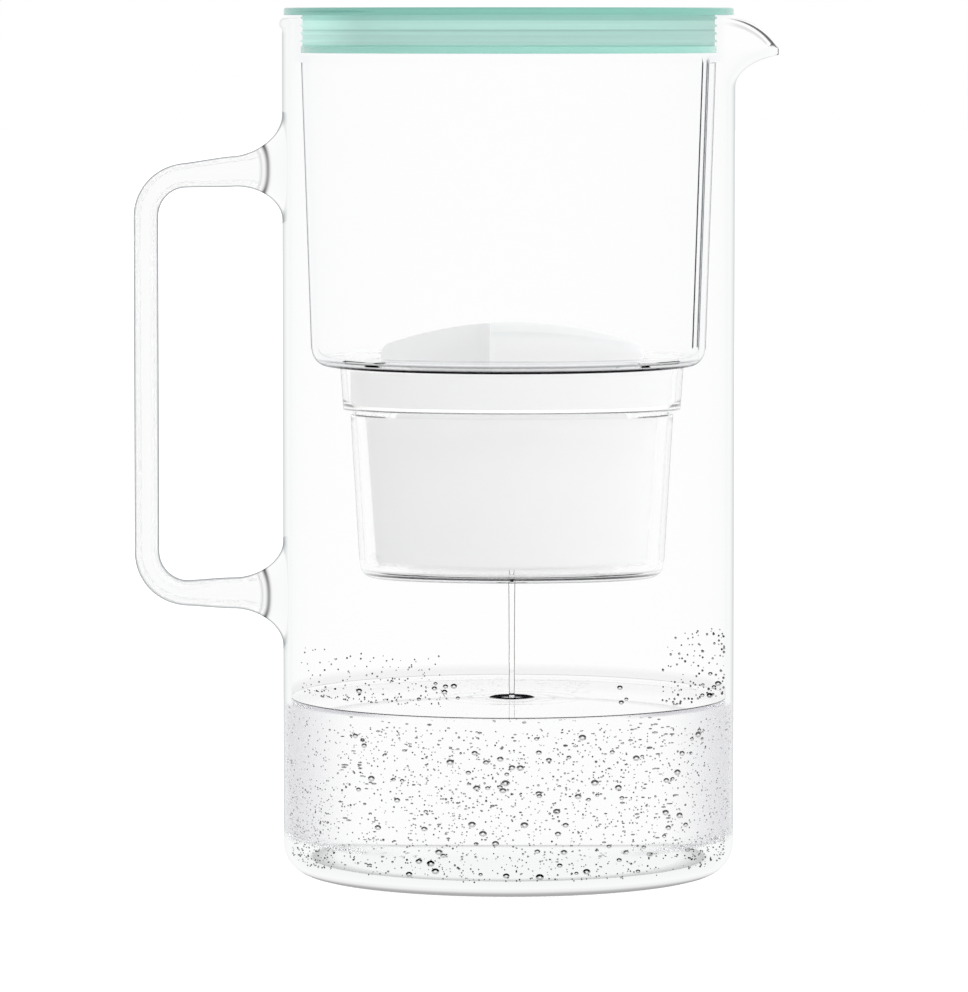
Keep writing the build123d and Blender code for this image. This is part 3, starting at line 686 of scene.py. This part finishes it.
for a, line in zip(fine_arc[:-1], (1.0, 1.0, 1.0, 1.0, 0.3, 0.1, 0.6, 0.0, 0.0, 0.0, 0.0)):
    corner = grooved(54.8 + 4.5 * math.sin(a), corner_z, outer_rod)
    put([circle(corner, corner_z - 5.3 * math.cos(a))], line, 0.3, 1)
for z in wall_z:
    put([circle(grooved(hopper_radius(z), z, outer_rod), z)], even=1.0, fine=0.4)
print("outside", len(section), "rings")

# %% The collar, the flange and the section inside, back down to the nipple's bore
put([circle(62.6, wall_top), circle(64.4, wall_top)], 0, 1, 1)
put([circle(64.7, z) for z in (244.8, 246.6, 257.5)], 0, 1, 1)
put([circle(r, z) for r, z in ((64.9, jug_height), (66.9, jug_height), (67.2, 258.05), (67.2, 258.35),
                               (66.95, flange_top), (63.0, flange_top), (62.7, 258.3),
                               (62.7, 257.0), (62.7, 246.8), (62.4, collar_floor))], 0, 1, 1)
put([circle(grooved(r, wall_top, inner_rod), z) for r, z in ((60.6, collar_floor), (60.3, 246.2))], 0, 1, 1)
for z in wall_z[::-1]:
    put([circle(grooved(hopper_radius(z) - 2.0, z, inner_rod), z)], calm=1, even=1.0, fine=4.4)
for a in arc[::-1][1:]:
    corner = grooved(54.9 + 2.5 * math.sin(a), corner_z, inner_rod)
    put([circle(corner, corner_z - 2.5 * math.cos(a))], 0, 0.8, 1)
put(between(circle(54.9, floor_top), oval(2.1, floor_top), (0.4, 0.8, 1.0)) + [oval(1.8, 156.1)], 0, 1)
put([oval(0.5 + 1.2 * (z - step_top) / 15.7, z) for z in np.linspace(155.6, 141.0, 7)])
put([oval(grow, z) for grow, z in ((0.3, 140.7), (0.0, step_top), (-1.2, step_top), (-1.5, 140.3))], 0, 1)
put([oval(-1.5 - 3.0 * (step_top - z) / 49.6, z) for z in np.linspace(139.6, 94.0, 14)])
put([oval(-6.9 + 2.4 * math.sin(a), well_floor + 2.4 - 2.4 * math.cos(a)) for a in arc[::-1][1:]], 0, 0.8)
put(between(oval(-6.9, well_floor), nipple(1.3, well_floor), np.linspace(0, 1, 8)[1:]), 0, 1)
put([nipple(1.1, 90.8)], 0, 1)
print("section", len(section), "rings")

# %% The hopper as one piece
hopper_points = np.array(section).reshape(-1, 3)
line, calm, even, fine = np.repeat(np.array(ring_marks), hopper_sides, axis=0).T
at_groove = np.tile(smooth_step((np.cos(course) - 0.987) / 0.006), len(section)) * (fine > 0)
# The painted dark lines are kept to the near side of the hopper.
near_side = np.tile(smooth_step(0.15 - 1.1 * np.sin(course)), len(section))
marks = {"line": line * near_side, "calm": calm * (1 - at_groove), "even": even, "fine": fine * at_groove}
make_piece("hopper_moulding", hopper_points, [ring_faces(len(section), hopper_sides, True)], clear_plastic,
           "hopper", ("hopper",), 50, marks)

# %% [markdown]
# ## White cartridge
# Injection-moulded polypropylene, satin from the spark-eroded mould: a soft sheen, and a grain finer than a
# tenth of a millimetre, drawn here at four tenths so that it shows. Light goes a short way into it.

# %% White polypropylene
def dress(finish, *names):
    """Gives CAD nodes their finish."""
    for name in names:
        cad_nodes[name].material_slots[0].material = finish


def white_finish(name, low_hex, high_hex, glow):
    """Satin white plastic, with 26 grains to the centimetre and flow marks 36 mm apart. The glow makes up
    for light that the skins of jug, hopper and lid keep from the cap, because a line of sight may cross
    only nine."""
    finish, tree = new_finish(name)
    where = add(tree, "TexCoord").outputs["Object"]
    grain = add(tree, "TexNoise", {"Vector": where, "Scale": 26 / CM, "Detail": 3.0, "Roughness": 0.6})
    flow = add(tree, "TexNoise", {"Vector": where, "Scale": 0.28 / CM, "Detail": 2.0}).outputs["Fac"]
    shade = add(tree, "Mix", {0: flow, 6: linear(low_hex), 7: linear(high_hex)}, data_type="RGBA").outputs[2]
    rough = add(tree, "MapRange", {"Value": grain.outputs["Fac"], "To Min": 0.38, "To Max": 0.52})
    fine = add(tree, "Bump", {"Height": grain.outputs["Fac"], "Strength": 0.12, "Distance": 0.05 * MM})
    skin = add(tree, "BsdfPrincipled", {
        "Base Color": shade, "Roughness": rough, "IOR": 1.49, "Normal": fine, "Subsurface Weight": 0.15,
        "Subsurface Radius": (1.0, 1.0, 1.0), "Subsurface Scale": 1.5 * MM, "Emission Color": shade,
        "Emission Strength": glow})
    add(tree, "OutputMaterial", {"Surface": skin})
    return finish


white_plastic = white_finish("polypropylene, white, satin mould", "#E4E4E5", "#E9E9E9", 0.0)
white_cap = white_finish("polypropylene, white, cap", "#A9A9AA", "#ADADAD", 1.06)
dress(white_plastic, "cartridge_housing", "dial_clip")
dress(white_cap, "cartridge_cap")
print(white_plastic.name, "and", white_cap.name)

# %% [markdown]
# ## Mint lid
# The lid is moulded from tinted clear plastic, and its gasket from tinted silicone. Both let light through.
# The rim is painted a little lighter where the plug stands behind it, as painted light, and the gasket is
# painted lighter at the handle's end and darker at the spout's. Real tinted glass shaders would need a deep
# body to take their colour from, and these walls are thin, so the tint is a surface colour that lets some
# light by.

# %% Mint plastic and silicone
def tinted_finish(name, colours, levels, rough, ior, through, ends=(1.0, 1.0), spot=None):
    """Tinted plastic: colours at levels of height (mm), whose bands paint light and shade into the tint,
    13 level moulding lines to the centimetre, painted light at the handle's end and painted shade at the
    spout's end (ends), and light let through on its way to a matt surface. The spot is the middle of a small
    printed dot."""
    finish, tree = new_finish(name)
    where = add(tree, "TexCoord").outputs["Object"]
    place = add(tree, "SeparateXYZ", {0: where}).outputs
    shade = linear(colours[0])
    for colour, level in zip(colours[1:], levels):
        step = add(tree, "MapRange", {"Value": place["Z"], "From Min": (level - 0.15) * MM,
                                      "From Max": (level + 0.15) * MM})
        shade = add(tree, "Mix", {0: step, 6: shade, 7: linear(colour)}, data_type="RGBA").outputs[2]
    drawn = add(tree, "Mapping", {"Vector": where, "Scale": (0.06 / CM, 0.06 / CM, 13 / CM)})
    streak = add(tree, "TexNoise", {"Vector": drawn, "Scale": 1.0, "Detail": 2.0}).outputs["Fac"]
    streak = add(tree, "MapRange", {"Value": streak, "From Min": 0.3, "From Max": 0.7,
                                    "To Min": 0.93, "To Max": 1.05})
    # Painted light and shade: the colour is made lighter towards the handle's end and darker towards the
    # spout's.
    lit_end = add(tree, "MapRange", {"Value": place["X"], "From Min": -62 * MM, "From Max": -42 * MM,
                                   "To Min": ends[0], "To Max": 1.0}, interpolation_type="SMOOTHSTEP")
    shaded_end = add(tree, "MapRange", {"Value": place["X"], "From Min": -30 * MM, "From Max": 58 * MM,
                                    "To Min": 1.0, "To Max": ends[1]})
    for change in (lit_end, shaded_end):
        streak = add(tree, "Math", {0: streak, 1: change}, operation="MULTIPLY")
    shade = add(tree, "VectorMath", {0: shade, 3: streak}, operation="SCALE").outputs[0]
    if spot:
        gap = add(tree, "VectorMath", {0: where, 1: spot}, operation="DISTANCE").outputs["Value"]
        dot = add(tree, "Math", {0: gap, 1: 0.9 * MM}, operation="LESS_THAN")
        shade = add(tree, "Mix", {0: dot, 6: shade, 7: linear("#F2F4F2")}, data_type="RGBA").outputs[2]
    depth = add(tree, "LightPath").outputs["Diffuse Depth"]
    lit = add(tree, "Math", {0: depth, 1: 0.5}, operation="GREATER_THAN")
    skin = add(tree, "BsdfPrincipled", {"Base Color": shade, "Roughness": rough, "IOR": ior,
                                        "Transmission Weight": through})
    veil = add(tree, "BsdfTransparent", {"Color": linear("#F4FAF8")})
    both = add(tree, "MixShader", {0: lit, 1: skin, 2: veil})
    add(tree, "OutputMaterial", {"Surface": both})
    return finish


mint = tinted_finish("SAN, mint tint, moulded", ("#9CD2C6", "#B8DED6", "#80BDB0"), (249.8, 257.6), 0.22,
                     1.5, 0.12, spot=(0.0218, 0.0, 0.2608))
silicone = tinted_finish("silicone, mint tint, moulded",
                         ("#99CEC2", "#B4DAD2", "#A4CCC4", "#BCE3DA", "#A2D2C8"),
                         (249.8, 253.8, 254.3, 256.9), 0.45, 1.41, 0.1, (1.4, 0.84))
dress(mint, "lid_cover", "flap")
dress(silicone, "lid_gasket", "flap_seal")
print("lid finishes set")

# %% [markdown]
# ## Hidden parts
# The seal, screens and beds are inside the cartridge, and the pins and clip inside the lid. They show when
# the parts are lifted out or the flap stands open, so each still gets the finish of its real material.
# Granules and threads are drawn about twice as coarse as the real ones, or they would be lost between two
# pixels.

# %% Finishes of the small parts
def plain_finish(name, low_hex, high_hex, per_cm, rough, bump=0.0, metallic=0.0, glow=0.0):
    """A finish whose colour wanders between two shades, with so many grains per centimetre. The glow is
    painted light, which lifts the shade of a white rubber seal that sits in a narrow gap."""
    finish, tree = new_finish(name)
    where = add(tree, "TexCoord").outputs["Object"]
    noise = add(tree, "TexNoise", {"Vector": where, "Scale": per_cm / CM, "Detail": 3.0}).outputs["Fac"]
    shade = add(tree, "Mix", {0: noise, 6: linear(low_hex), 7: linear(high_hex)}, data_type="RGBA")
    shade = shade.outputs[2]
    fine = add(tree, "Bump", {"Height": noise, "Strength": bump, "Distance": 0.3 * MM})
    skin = add(tree, "BsdfPrincipled", {
        "Base Color": shade, "Roughness": rough, "Metallic": metallic, "Normal": fine,
        "Emission Color": shade, "Emission Strength": glow})
    add(tree, "OutputMaterial", {"Surface": skin})
    return finish


mesh_cloth = plain_finish("nylon mesh, woven", "#DADAD6", "#EAEAE6", 15, 0.5, 0.4)
dress(mesh_cloth, "inlet_screen", "bed_divider", "outlet_screen")
# The seal's glow is painted light, which lifts the shade of the gap where it sits under the cartridge's
# band.
soft_seal = plain_finish("thermoplastic elastomer, white", "#DEDEDC", "#E6E6E4", 4, 0.6, 0.1, glow=0.4)
dress(soft_seal, "cartridge_seal")
dress(plain_finish("activated carbon, granules", "#08080A", "#2A2A2E", 9, 0.7, 1.0), "carbon_bed")
dress(plain_finish("exchange resin, beads", "#A87430", "#E0B070", 9, 0.35, 1.0), "resin_bed")
dress(plain_finish("stainless steel, drawn", "#B8B8BA", "#C8C8CA", 8, 0.3, 0.1, 1.0), "flap_hinge_pins")
print("hidden parts set")

# %% [markdown]
# ## Dial face
# The dial's face carries the plain numbers of the months, moulded a tenth of a millimetre proud. The dial
# is turned round its own axis, with a round edge and a dimple for a fingertip, so it is one set of rings
# too. The numbers are Blender text, made a mesh flat on the table first and then turned into place as whole
# arrays.

# %% The dial's profile
dial_plastic = plain_finish("polypropylene, white, dial", "#ECECEA", "#F2F2F0", 5, 0.4, 0.05)
dial_x, dial_top, dial_foot = 36.0, 260.7, 252.5
face_radius, edge_bend = 11.6, 0.35
dial_profile = [(r, dial_top) for r in (0.3, *np.linspace(0.7, face_radius, 28))]
dial_profile += [(face_radius + edge_bend * math.sin(a), dial_top - edge_bend + edge_bend * math.cos(a))
                 for a in (0.5, 1.0, np.pi / 2)]
dial_profile += [(11.95, 259.8), (11.85, 259.7), (2.0, 259.7), (2.0, 254.2), (1.6, 254.2), (1.6, 253.3),
                 (2.0, 253.3), (2.0, 252.7), (1.8, dial_foot)]
print("dial profile", len(dial_profile), "points")

# %% The dial, turned, with its dimple
dial_sides = 96
round_dial = np.linspace(0, 2 * np.pi, dial_sides, endpoint=False)
reach, level = np.array(dial_profile).T
dial_points = np.stack([dial_x + reach[:, None] * np.cos(round_dial), reach[:, None] * np.sin(round_dial),
                        np.broadcast_to(level[:, None], (len(reach), dial_sides))], axis=-1)
dimple_x, dimple_ball, dimple_depth = dial_x + 6.0, 3.0, 0.5
from_dimple = np.hypot(dial_points[:, :, 0] - dimple_x, dial_points[:, :, 1])
ball_centre = dial_top - dimple_depth + dimple_ball
bowl = ball_centre - np.sqrt(dimple_ball ** 2 - np.minimum(from_dimple, dimple_ball) ** 2)
on_top = (level[:, None] > dial_top - 0.01) & (from_dimple < 1.8)
dial_points[:, :, 2] = np.where(on_top, np.minimum(bowl, dial_points[:, :, 2]), dial_points[:, :, 2])
points = np.vstack([dial_points.reshape(-1, 3), [[dial_x, 0, dial_top], [dial_x, 0, dial_foot]]])
make_piece("dial_face", points, capped_faces(len(reach), dial_sides), dial_plastic, "dial",
           ("change_dial",), 40)

# %% The numbers
number_ink = plain_finish("polypropylene, grey-green, moulded in", "#4E7A72", "#5A857D", 5, 0.45, 0.05)
number_reach, number_height = 9.3, 2.9
for month in range(1, 13):
    words = bpy.data.curves.new(f"number_{month}", "FONT")
    words.body = str(month)
    words.size = number_height * MM
    words.extrude = 0.045 * MM
    words.resolution_u = 3
    words.align_x = "CENTER"
    words.align_y = "CENTER"
    laid = bpy.data.objects.new("laid", words)
    scene.collection.objects.link(laid)
    bpy.context.view_layer.update()
    mesh = bpy.data.meshes.new_from_object(laid.evaluated_get(bpy.context.evaluated_depsgraph_get()))
    bpy.data.objects.remove(laid)
    flat = np.empty(len(mesh.vertices) * 3, np.float32)
    mesh.vertices.foreach_get("co", flat)
    flat = flat.reshape(-1, 3)
    angle = math.radians(180 - 30 * month)
    outwards = np.array([math.cos(angle), math.sin(angle)])
    along = np.array([math.sin(angle), -math.cos(angle)])
    placed = np.empty_like(flat)
    placed[:, :2] = flat[:, :1] * along + (flat[:, 1:2] + number_reach * MM) * outwards + (dial_x * MM, 0)
    placed[:, 2] = flat[:, 2] + (dial_top + 0.05) * MM
    mesh.vertices.foreach_set("co", placed.ravel())
    mesh.materials.clear()
    mesh.materials.append(number_ink)
    number = bpy.data.objects.new(f"dial_number_{month}", mesh)
    scene.collection.objects.link(number)
    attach(number, "dial")
print("numbers 1 to 12")

# %% [markdown]
# ## Painted reflection on the lid's edge
# The edge of the lid's disc shows a long dark reflection, and it is painted on: a flat lens of darker mint
# that follows the edge, a tube of rings whose height rises and falls as half a sine wave.

# %% A dark reflection painted on the lid's edge
lid_low, lid_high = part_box("lid_cover")
lid_edge = max(abs(lid_low[1]), abs(lid_high[1])) / MM
dark_lens_start, dark_lens_length, dark_lens_z = -63.5, 24.0, 259.6
dark_lens_rings, dark_lens_sides = 60, 12
dark_lens_x = np.linspace(dark_lens_start, dark_lens_start + dark_lens_length, dark_lens_rings)[:, None]
dark_lens_turn = np.linspace(0, 2 * np.pi, dark_lens_sides, endpoint=False)[None, :]
dark_lens_half = 0.04 + 0.34 * np.sin(np.pi * (dark_lens_x - dark_lens_start) / dark_lens_length)
dark_lens_share = (lid_edge - 0.05 + 0.08 * np.cos(dark_lens_turn)) / lid_edge
dark_lens = np.stack([dark_lens_x * dark_lens_share, -np.sqrt(lid_edge ** 2 - dark_lens_x ** 2) * dark_lens_share,
                 dark_lens_z + dark_lens_half * np.sin(dark_lens_turn)], axis=-1)
dark_lens_points = np.vstack([dark_lens.reshape(-1, 3), dark_lens[[0, -1]].mean(axis=1)])
# The darker mint is a painted reflection on the lid's edge.
reflection_stuff = plain_finish("SAN, mint tint, painted dark reflection", "#5E9E92", "#6CAA9E", 3, 0.3, 0.05)
make_piece("lid_edge_dark_reflection", dark_lens_points, capped_faces(dark_lens_rings, dark_lens_sides), reflection_stuff, "lid")

# %% [markdown]
# ## Water
# The jug is a fifth full. Where water wets glass there is no air between them, so the water's skin is set a
# tenth of a millimetre outside the bore, into the glass, and light goes from one into the other with no
# gap. The surface is worked out from formulas, because a fluid simulation of a calm jug would give little
# more.

# %% The water's surface
water_stuff = clear_finish("water", 1.333, "#B0B0B8", (0.11, 0.30), "#C8CCD8", 0.3, False)
water_level = 52.6
wet_slack = 0.1
wet_radius = bore + wet_slack


def from_stream(radius):
    """Distance from the stream, round a ring of the surface."""
    return np.hypot(radius * np.cos(turn) - well_x, radius * np.sin(turn))


def water_top(radius):
    """Height of the surface at rings of one radius: the level, a meniscus that dies away from the wall, and
    rings of waves round the foot of the stream that die away from it."""
    away = from_stream(radius)
    climb = 0.9 * np.exp(-(wet_radius - radius) / 0.9)
    ripple = 0.2 * np.cos(2 * np.pi * away / 6.6) * np.exp(-away / 12.0)
    return water_level + climb + 0.7 * np.exp(-((away - 5.4) / 1.5) ** 2) + ripple


def water_line(radius):
    """Marks of the surface, all painted shade: a thin dark line where it meets the near wall, and a dark
    ring and two faint ones round the foot of the stream."""
    away = from_stream(radius)
    dark_ring = smooth_step((away - 3.2) / 0.8) * smooth_step((7.2 - away) / 0.6)
    faint_rings = 0.25 * np.exp(-((away - 13.0) / 0.5) ** 2) + 0.18 * np.exp(-((away - 20.0) / 0.5) ** 2)
    depth = wet_radius - radius
    at_wall = 0.05 * smooth_step((depth - 0.6) / 1.0) - 1.2 * np.exp(-(depth / 0.4) ** 2)
    return dark_ring + faint_rings + at_wall


print("water", water_level, "mm deep")

# %% The body of water
base_wet = base - wet_slack
rings = [ring(floor_radius * s, base_wet) for s in np.linspace(0.12, 1.0, 6)]
rings += [bend_ring(floor_radius, a, wet_slack) for a in np.linspace(0, np.pi / 2, 9)[1:]]
rings += [ring(wet_radius, z) for z in np.linspace(bend_top, water_level + 0.8, 22)[1:]]
below_top = len(rings)
top_radii = np.concatenate([wet_radius - 6.0 * np.linspace(0, 1, 30) ** 2, np.linspace(58.0, 30.0, 12),
                            np.linspace(29.3, 0.7, 70)])
rings += [ring(r, water_top(r)) for r in top_radii]
points = np.vstack([np.reshape(rings, (-1, 3)), [[0, 0, base_wet], [0, 0, water_top(0.0)[0]]]])
wet_heights = np.array(rings)[:below_top, :, 2].ravel()
surface_line = np.concatenate([water_line(r) for r in top_radii])
none = np.zeros(surface_line.size)
marks = {"line": np.concatenate([np.zeros(wet_heights.size), surface_line, [0, 0]]),
         "even": np.concatenate([smooth_step((14.0 - wet_heights) / 2.0), none, [1, 0]]),
         "way": np.ones(len(points)),
         "calm": np.concatenate([smooth_step((14.0 - wet_heights) / 3.0), none + 1, [1, 1]])}
make_piece("water", points, capped_faces(len(rings), sides), water_stuff, "jug", marks=marks)

# %% The falling stream
stream_rings, stream_sides = 70, 32
stream_low, stream_high = water_level - 0.6, 88.6
angle = np.linspace(0, 2 * np.pi, stream_sides, endpoint=False)
heights = np.linspace(stream_low, stream_high, stream_rings)
drop = (stream_high - heights) / (stream_high - water_level)
flare = 1.6 * np.exp(-(heights - stream_low) / 0.5)
radii = 1.05 - 0.22 * np.sqrt(drop) + 0.05 * np.sin(heights * 0.9) * drop + flare
stream_points = np.stack([well_x + radii[:, None] * np.cos(angle), radii[:, None] * np.sin(angle),
                          np.broadcast_to(heights[:, None], (stream_rings, stream_sides))], axis=-1)
points = np.vstack([stream_points.reshape(-1, 3), [[well_x, 0, stream_low], [well_x, 0, stream_high]]])
stream_stuff = clear_finish("falling water", 1.333, "#3C3C42", (0.25, 0.65), "#D0D4DA", 1.0)
stream = make_piece("water_stream", points, capped_faces(stream_rings, stream_sides), stream_stuff,
                    None)
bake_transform(stream)
print("stream", round(stream_high - stream_low, 1), "mm long")

# %% [markdown]
# ## Bubbles and drops
# Freshly poured water leaves air bubbles on the glass, and the splash leaves drops above the surface. Each
# one is a small ball of few faces. A bubble is a lens that throws light outwards, so its rim, and most of
# all its top, is painted dark as the shade it would show, with a bright middle.

# %% Bubble finish
bubble_stuff, tree = new_finish("air bubble in water")
turned = add(tree, "LayerWeight", {"Blend": 0.5}).outputs["Facing"]
rim = add(tree, "MapRange", {"Value": turned, "From Min": 0.02, "From Max": 0.16},
          interpolation_type="SMOOTHSTEP")
form = add(tree, "NewGeometry").outputs
side = add(tree, "Math", {0: form["Backfacing"], 1: 2.0}, operation="MULTIPLY")
side = add(tree, "Math", {0: 1.0, 1: side}, operation="SUBTRACT")
up = add(tree, "SeparateXYZ", {0: form["Normal"]}).outputs["Z"]
up = add(tree, "Math", {0: up, 1: side}, operation="MULTIPLY")
top = add(tree, "MapRange", {"Value": up, "From Min": -0.15, "From Max": 0.3, "To Min": 0.25},
          interpolation_type="SMOOTHSTEP")
dark = add(tree, "Math", {0: rim, 1: top}, operation="MULTIPLY")
tiny = add(tree, "Attribute", attribute_name="tiny").outputs["Fac"]
dark = add(tree, "Math", {0: dark, 1: tiny}, operation="MAXIMUM")
# Painted shade: each bubble's rim and top, and each tiny ball, are coloured dark.
shade = add(tree, "Mix", {0: dark, 6: linear("#FDFDFD"), 7: linear("#3E3E44")}, data_type="RGBA").outputs[2]
add(tree, "OutputMaterial", {"Surface": add(tree, "BsdfTransparent", {"Color": shade})})
print("bubble nodes", len(tree.nodes))

# %% Balls from whole arrays
chance = np.random.default_rng(7)


def balls(name, centres, sizes, levels, around, squash=1.0):
    """Balls of one grid: levels x around points and two poles each, moved and scaled in one step. A ball
    too small to show its rim is painted one even dark shade, kept as the mark tiny."""
    polar = np.linspace(0, np.pi, levels + 2)[1:-1, None]
    azimuth = np.linspace(0, 2 * np.pi, around, endpoint=False)[None, :]
    grid = np.stack([np.sin(polar) * np.cos(azimuth), np.sin(polar) * np.sin(azimuth),
                     np.cos(polar) * np.ones_like(azimuth)], axis=-1).reshape(-1, 3)
    unit = np.vstack([grid, [[0, 0, 1], [0, 0, -1]]]) * (1, 1, squash)
    points = centres[:, None, :] + sizes[:, None, None] * unit
    shift = (np.arange(len(centres)) * len(unit))[:, None, None]
    quads, upper_cap, lower_cap = capped_faces(levels, around)
    faces = [(part[None] + shift).reshape(-1, part.shape[1])
             for part in (quads, np.concatenate([upper_cap, lower_cap]))]
    tone = 0.25 + 0.55 * chance.random(len(sizes)) ** 1.5
    tiny = np.repeat(np.where(sizes < 0.5, tone, 0.0), len(unit))
    return make_piece(name, points.reshape(-1, 3), faces, bubble_stuff, "jug", marks={"tiny": tiny})


def on_wall(across, heights, sizes, side=-1):
    """Centres of balls that touch the inside of the wall at x = across, on the near (-1) or far (1)
    side."""
    reach = bore - sizes * 0.9
    across = np.clip(across, -0.999 * reach, 0.999 * reach)
    return np.stack([across, side * np.sqrt(reach ** 2 - across ** 2), heights], axis=-1)


print("the draws start from seed 7")

# %% Bubbles in the water: radii and places in mm
count = 84
large = chance.uniform(0.65, 1.25, count)
large_at = on_wall(chance.uniform(-45, 58, count), chance.uniform(5.5, 49, count), large)
balls("bubbles_large", large_at, large, 5, 10, 0.75)

count = 2300
small = chance.uniform(0.15, 0.34, count) * np.where(chance.random(count) < 0.14, 1.4, 1.0)
small_side = np.where(chance.random(count) < 0.85, -1, 1)
small_x = chance.uniform(-64, 65, count) * np.where(small_side > 0, 0.4, 1.0)
small_at = on_wall(small_x, chance.uniform(4.8, 50, count), small, small_side)

count = 380
corner = chance.uniform(0.14, 0.3, count)
to_left = chance.random(count) < 0.6
left_x = -65.2 + 14 * chance.random(count) ** 1.6
right_x = 65.2 - 12 * chance.random(count) ** 1.6
corner_at = on_wall(np.where(to_left, left_x, right_x), 5.5 + 26 * chance.random(count) ** 1.3, corner)
balls("bubbles_small", np.vstack([small_at, corner_at]), np.concatenate([small, corner]), 2, 5, 0.9)
print("bubbles", len(large) + len(small) + len(corner))

# %% Drops above the water
count = 210
left = chance.uniform(0.14, 0.34, count)
left_at = on_wall(chance.uniform(-62, -18, count), 56.5 + 15 * chance.random(count) ** 1.8, left)

count = 130
right = chance.uniform(0.16, 0.46, count)
right_at = on_wall(65 - 20 * chance.random(count) ** 1.2, 55.0 + 21 * chance.random(count) ** 1.3, right)
balls("drops_small", np.vstack([left_at, right_at]), np.concatenate([left, right]), 2, 5)

groups = ((-45, -15, 8), (25, 40, 3), (57, 65, 7))
big = chance.uniform(0.5, 1.0, sum(group[2] for group in groups))
big_x = np.concatenate([chance.uniform(*group) for group in groups])
big_at = on_wall(big_x, 54.5 + 9 * chance.random(len(big)), big)
balls("drops_large", big_at, big, 5, 10, 0.8)
print("drops", len(left) + len(right) + len(big))
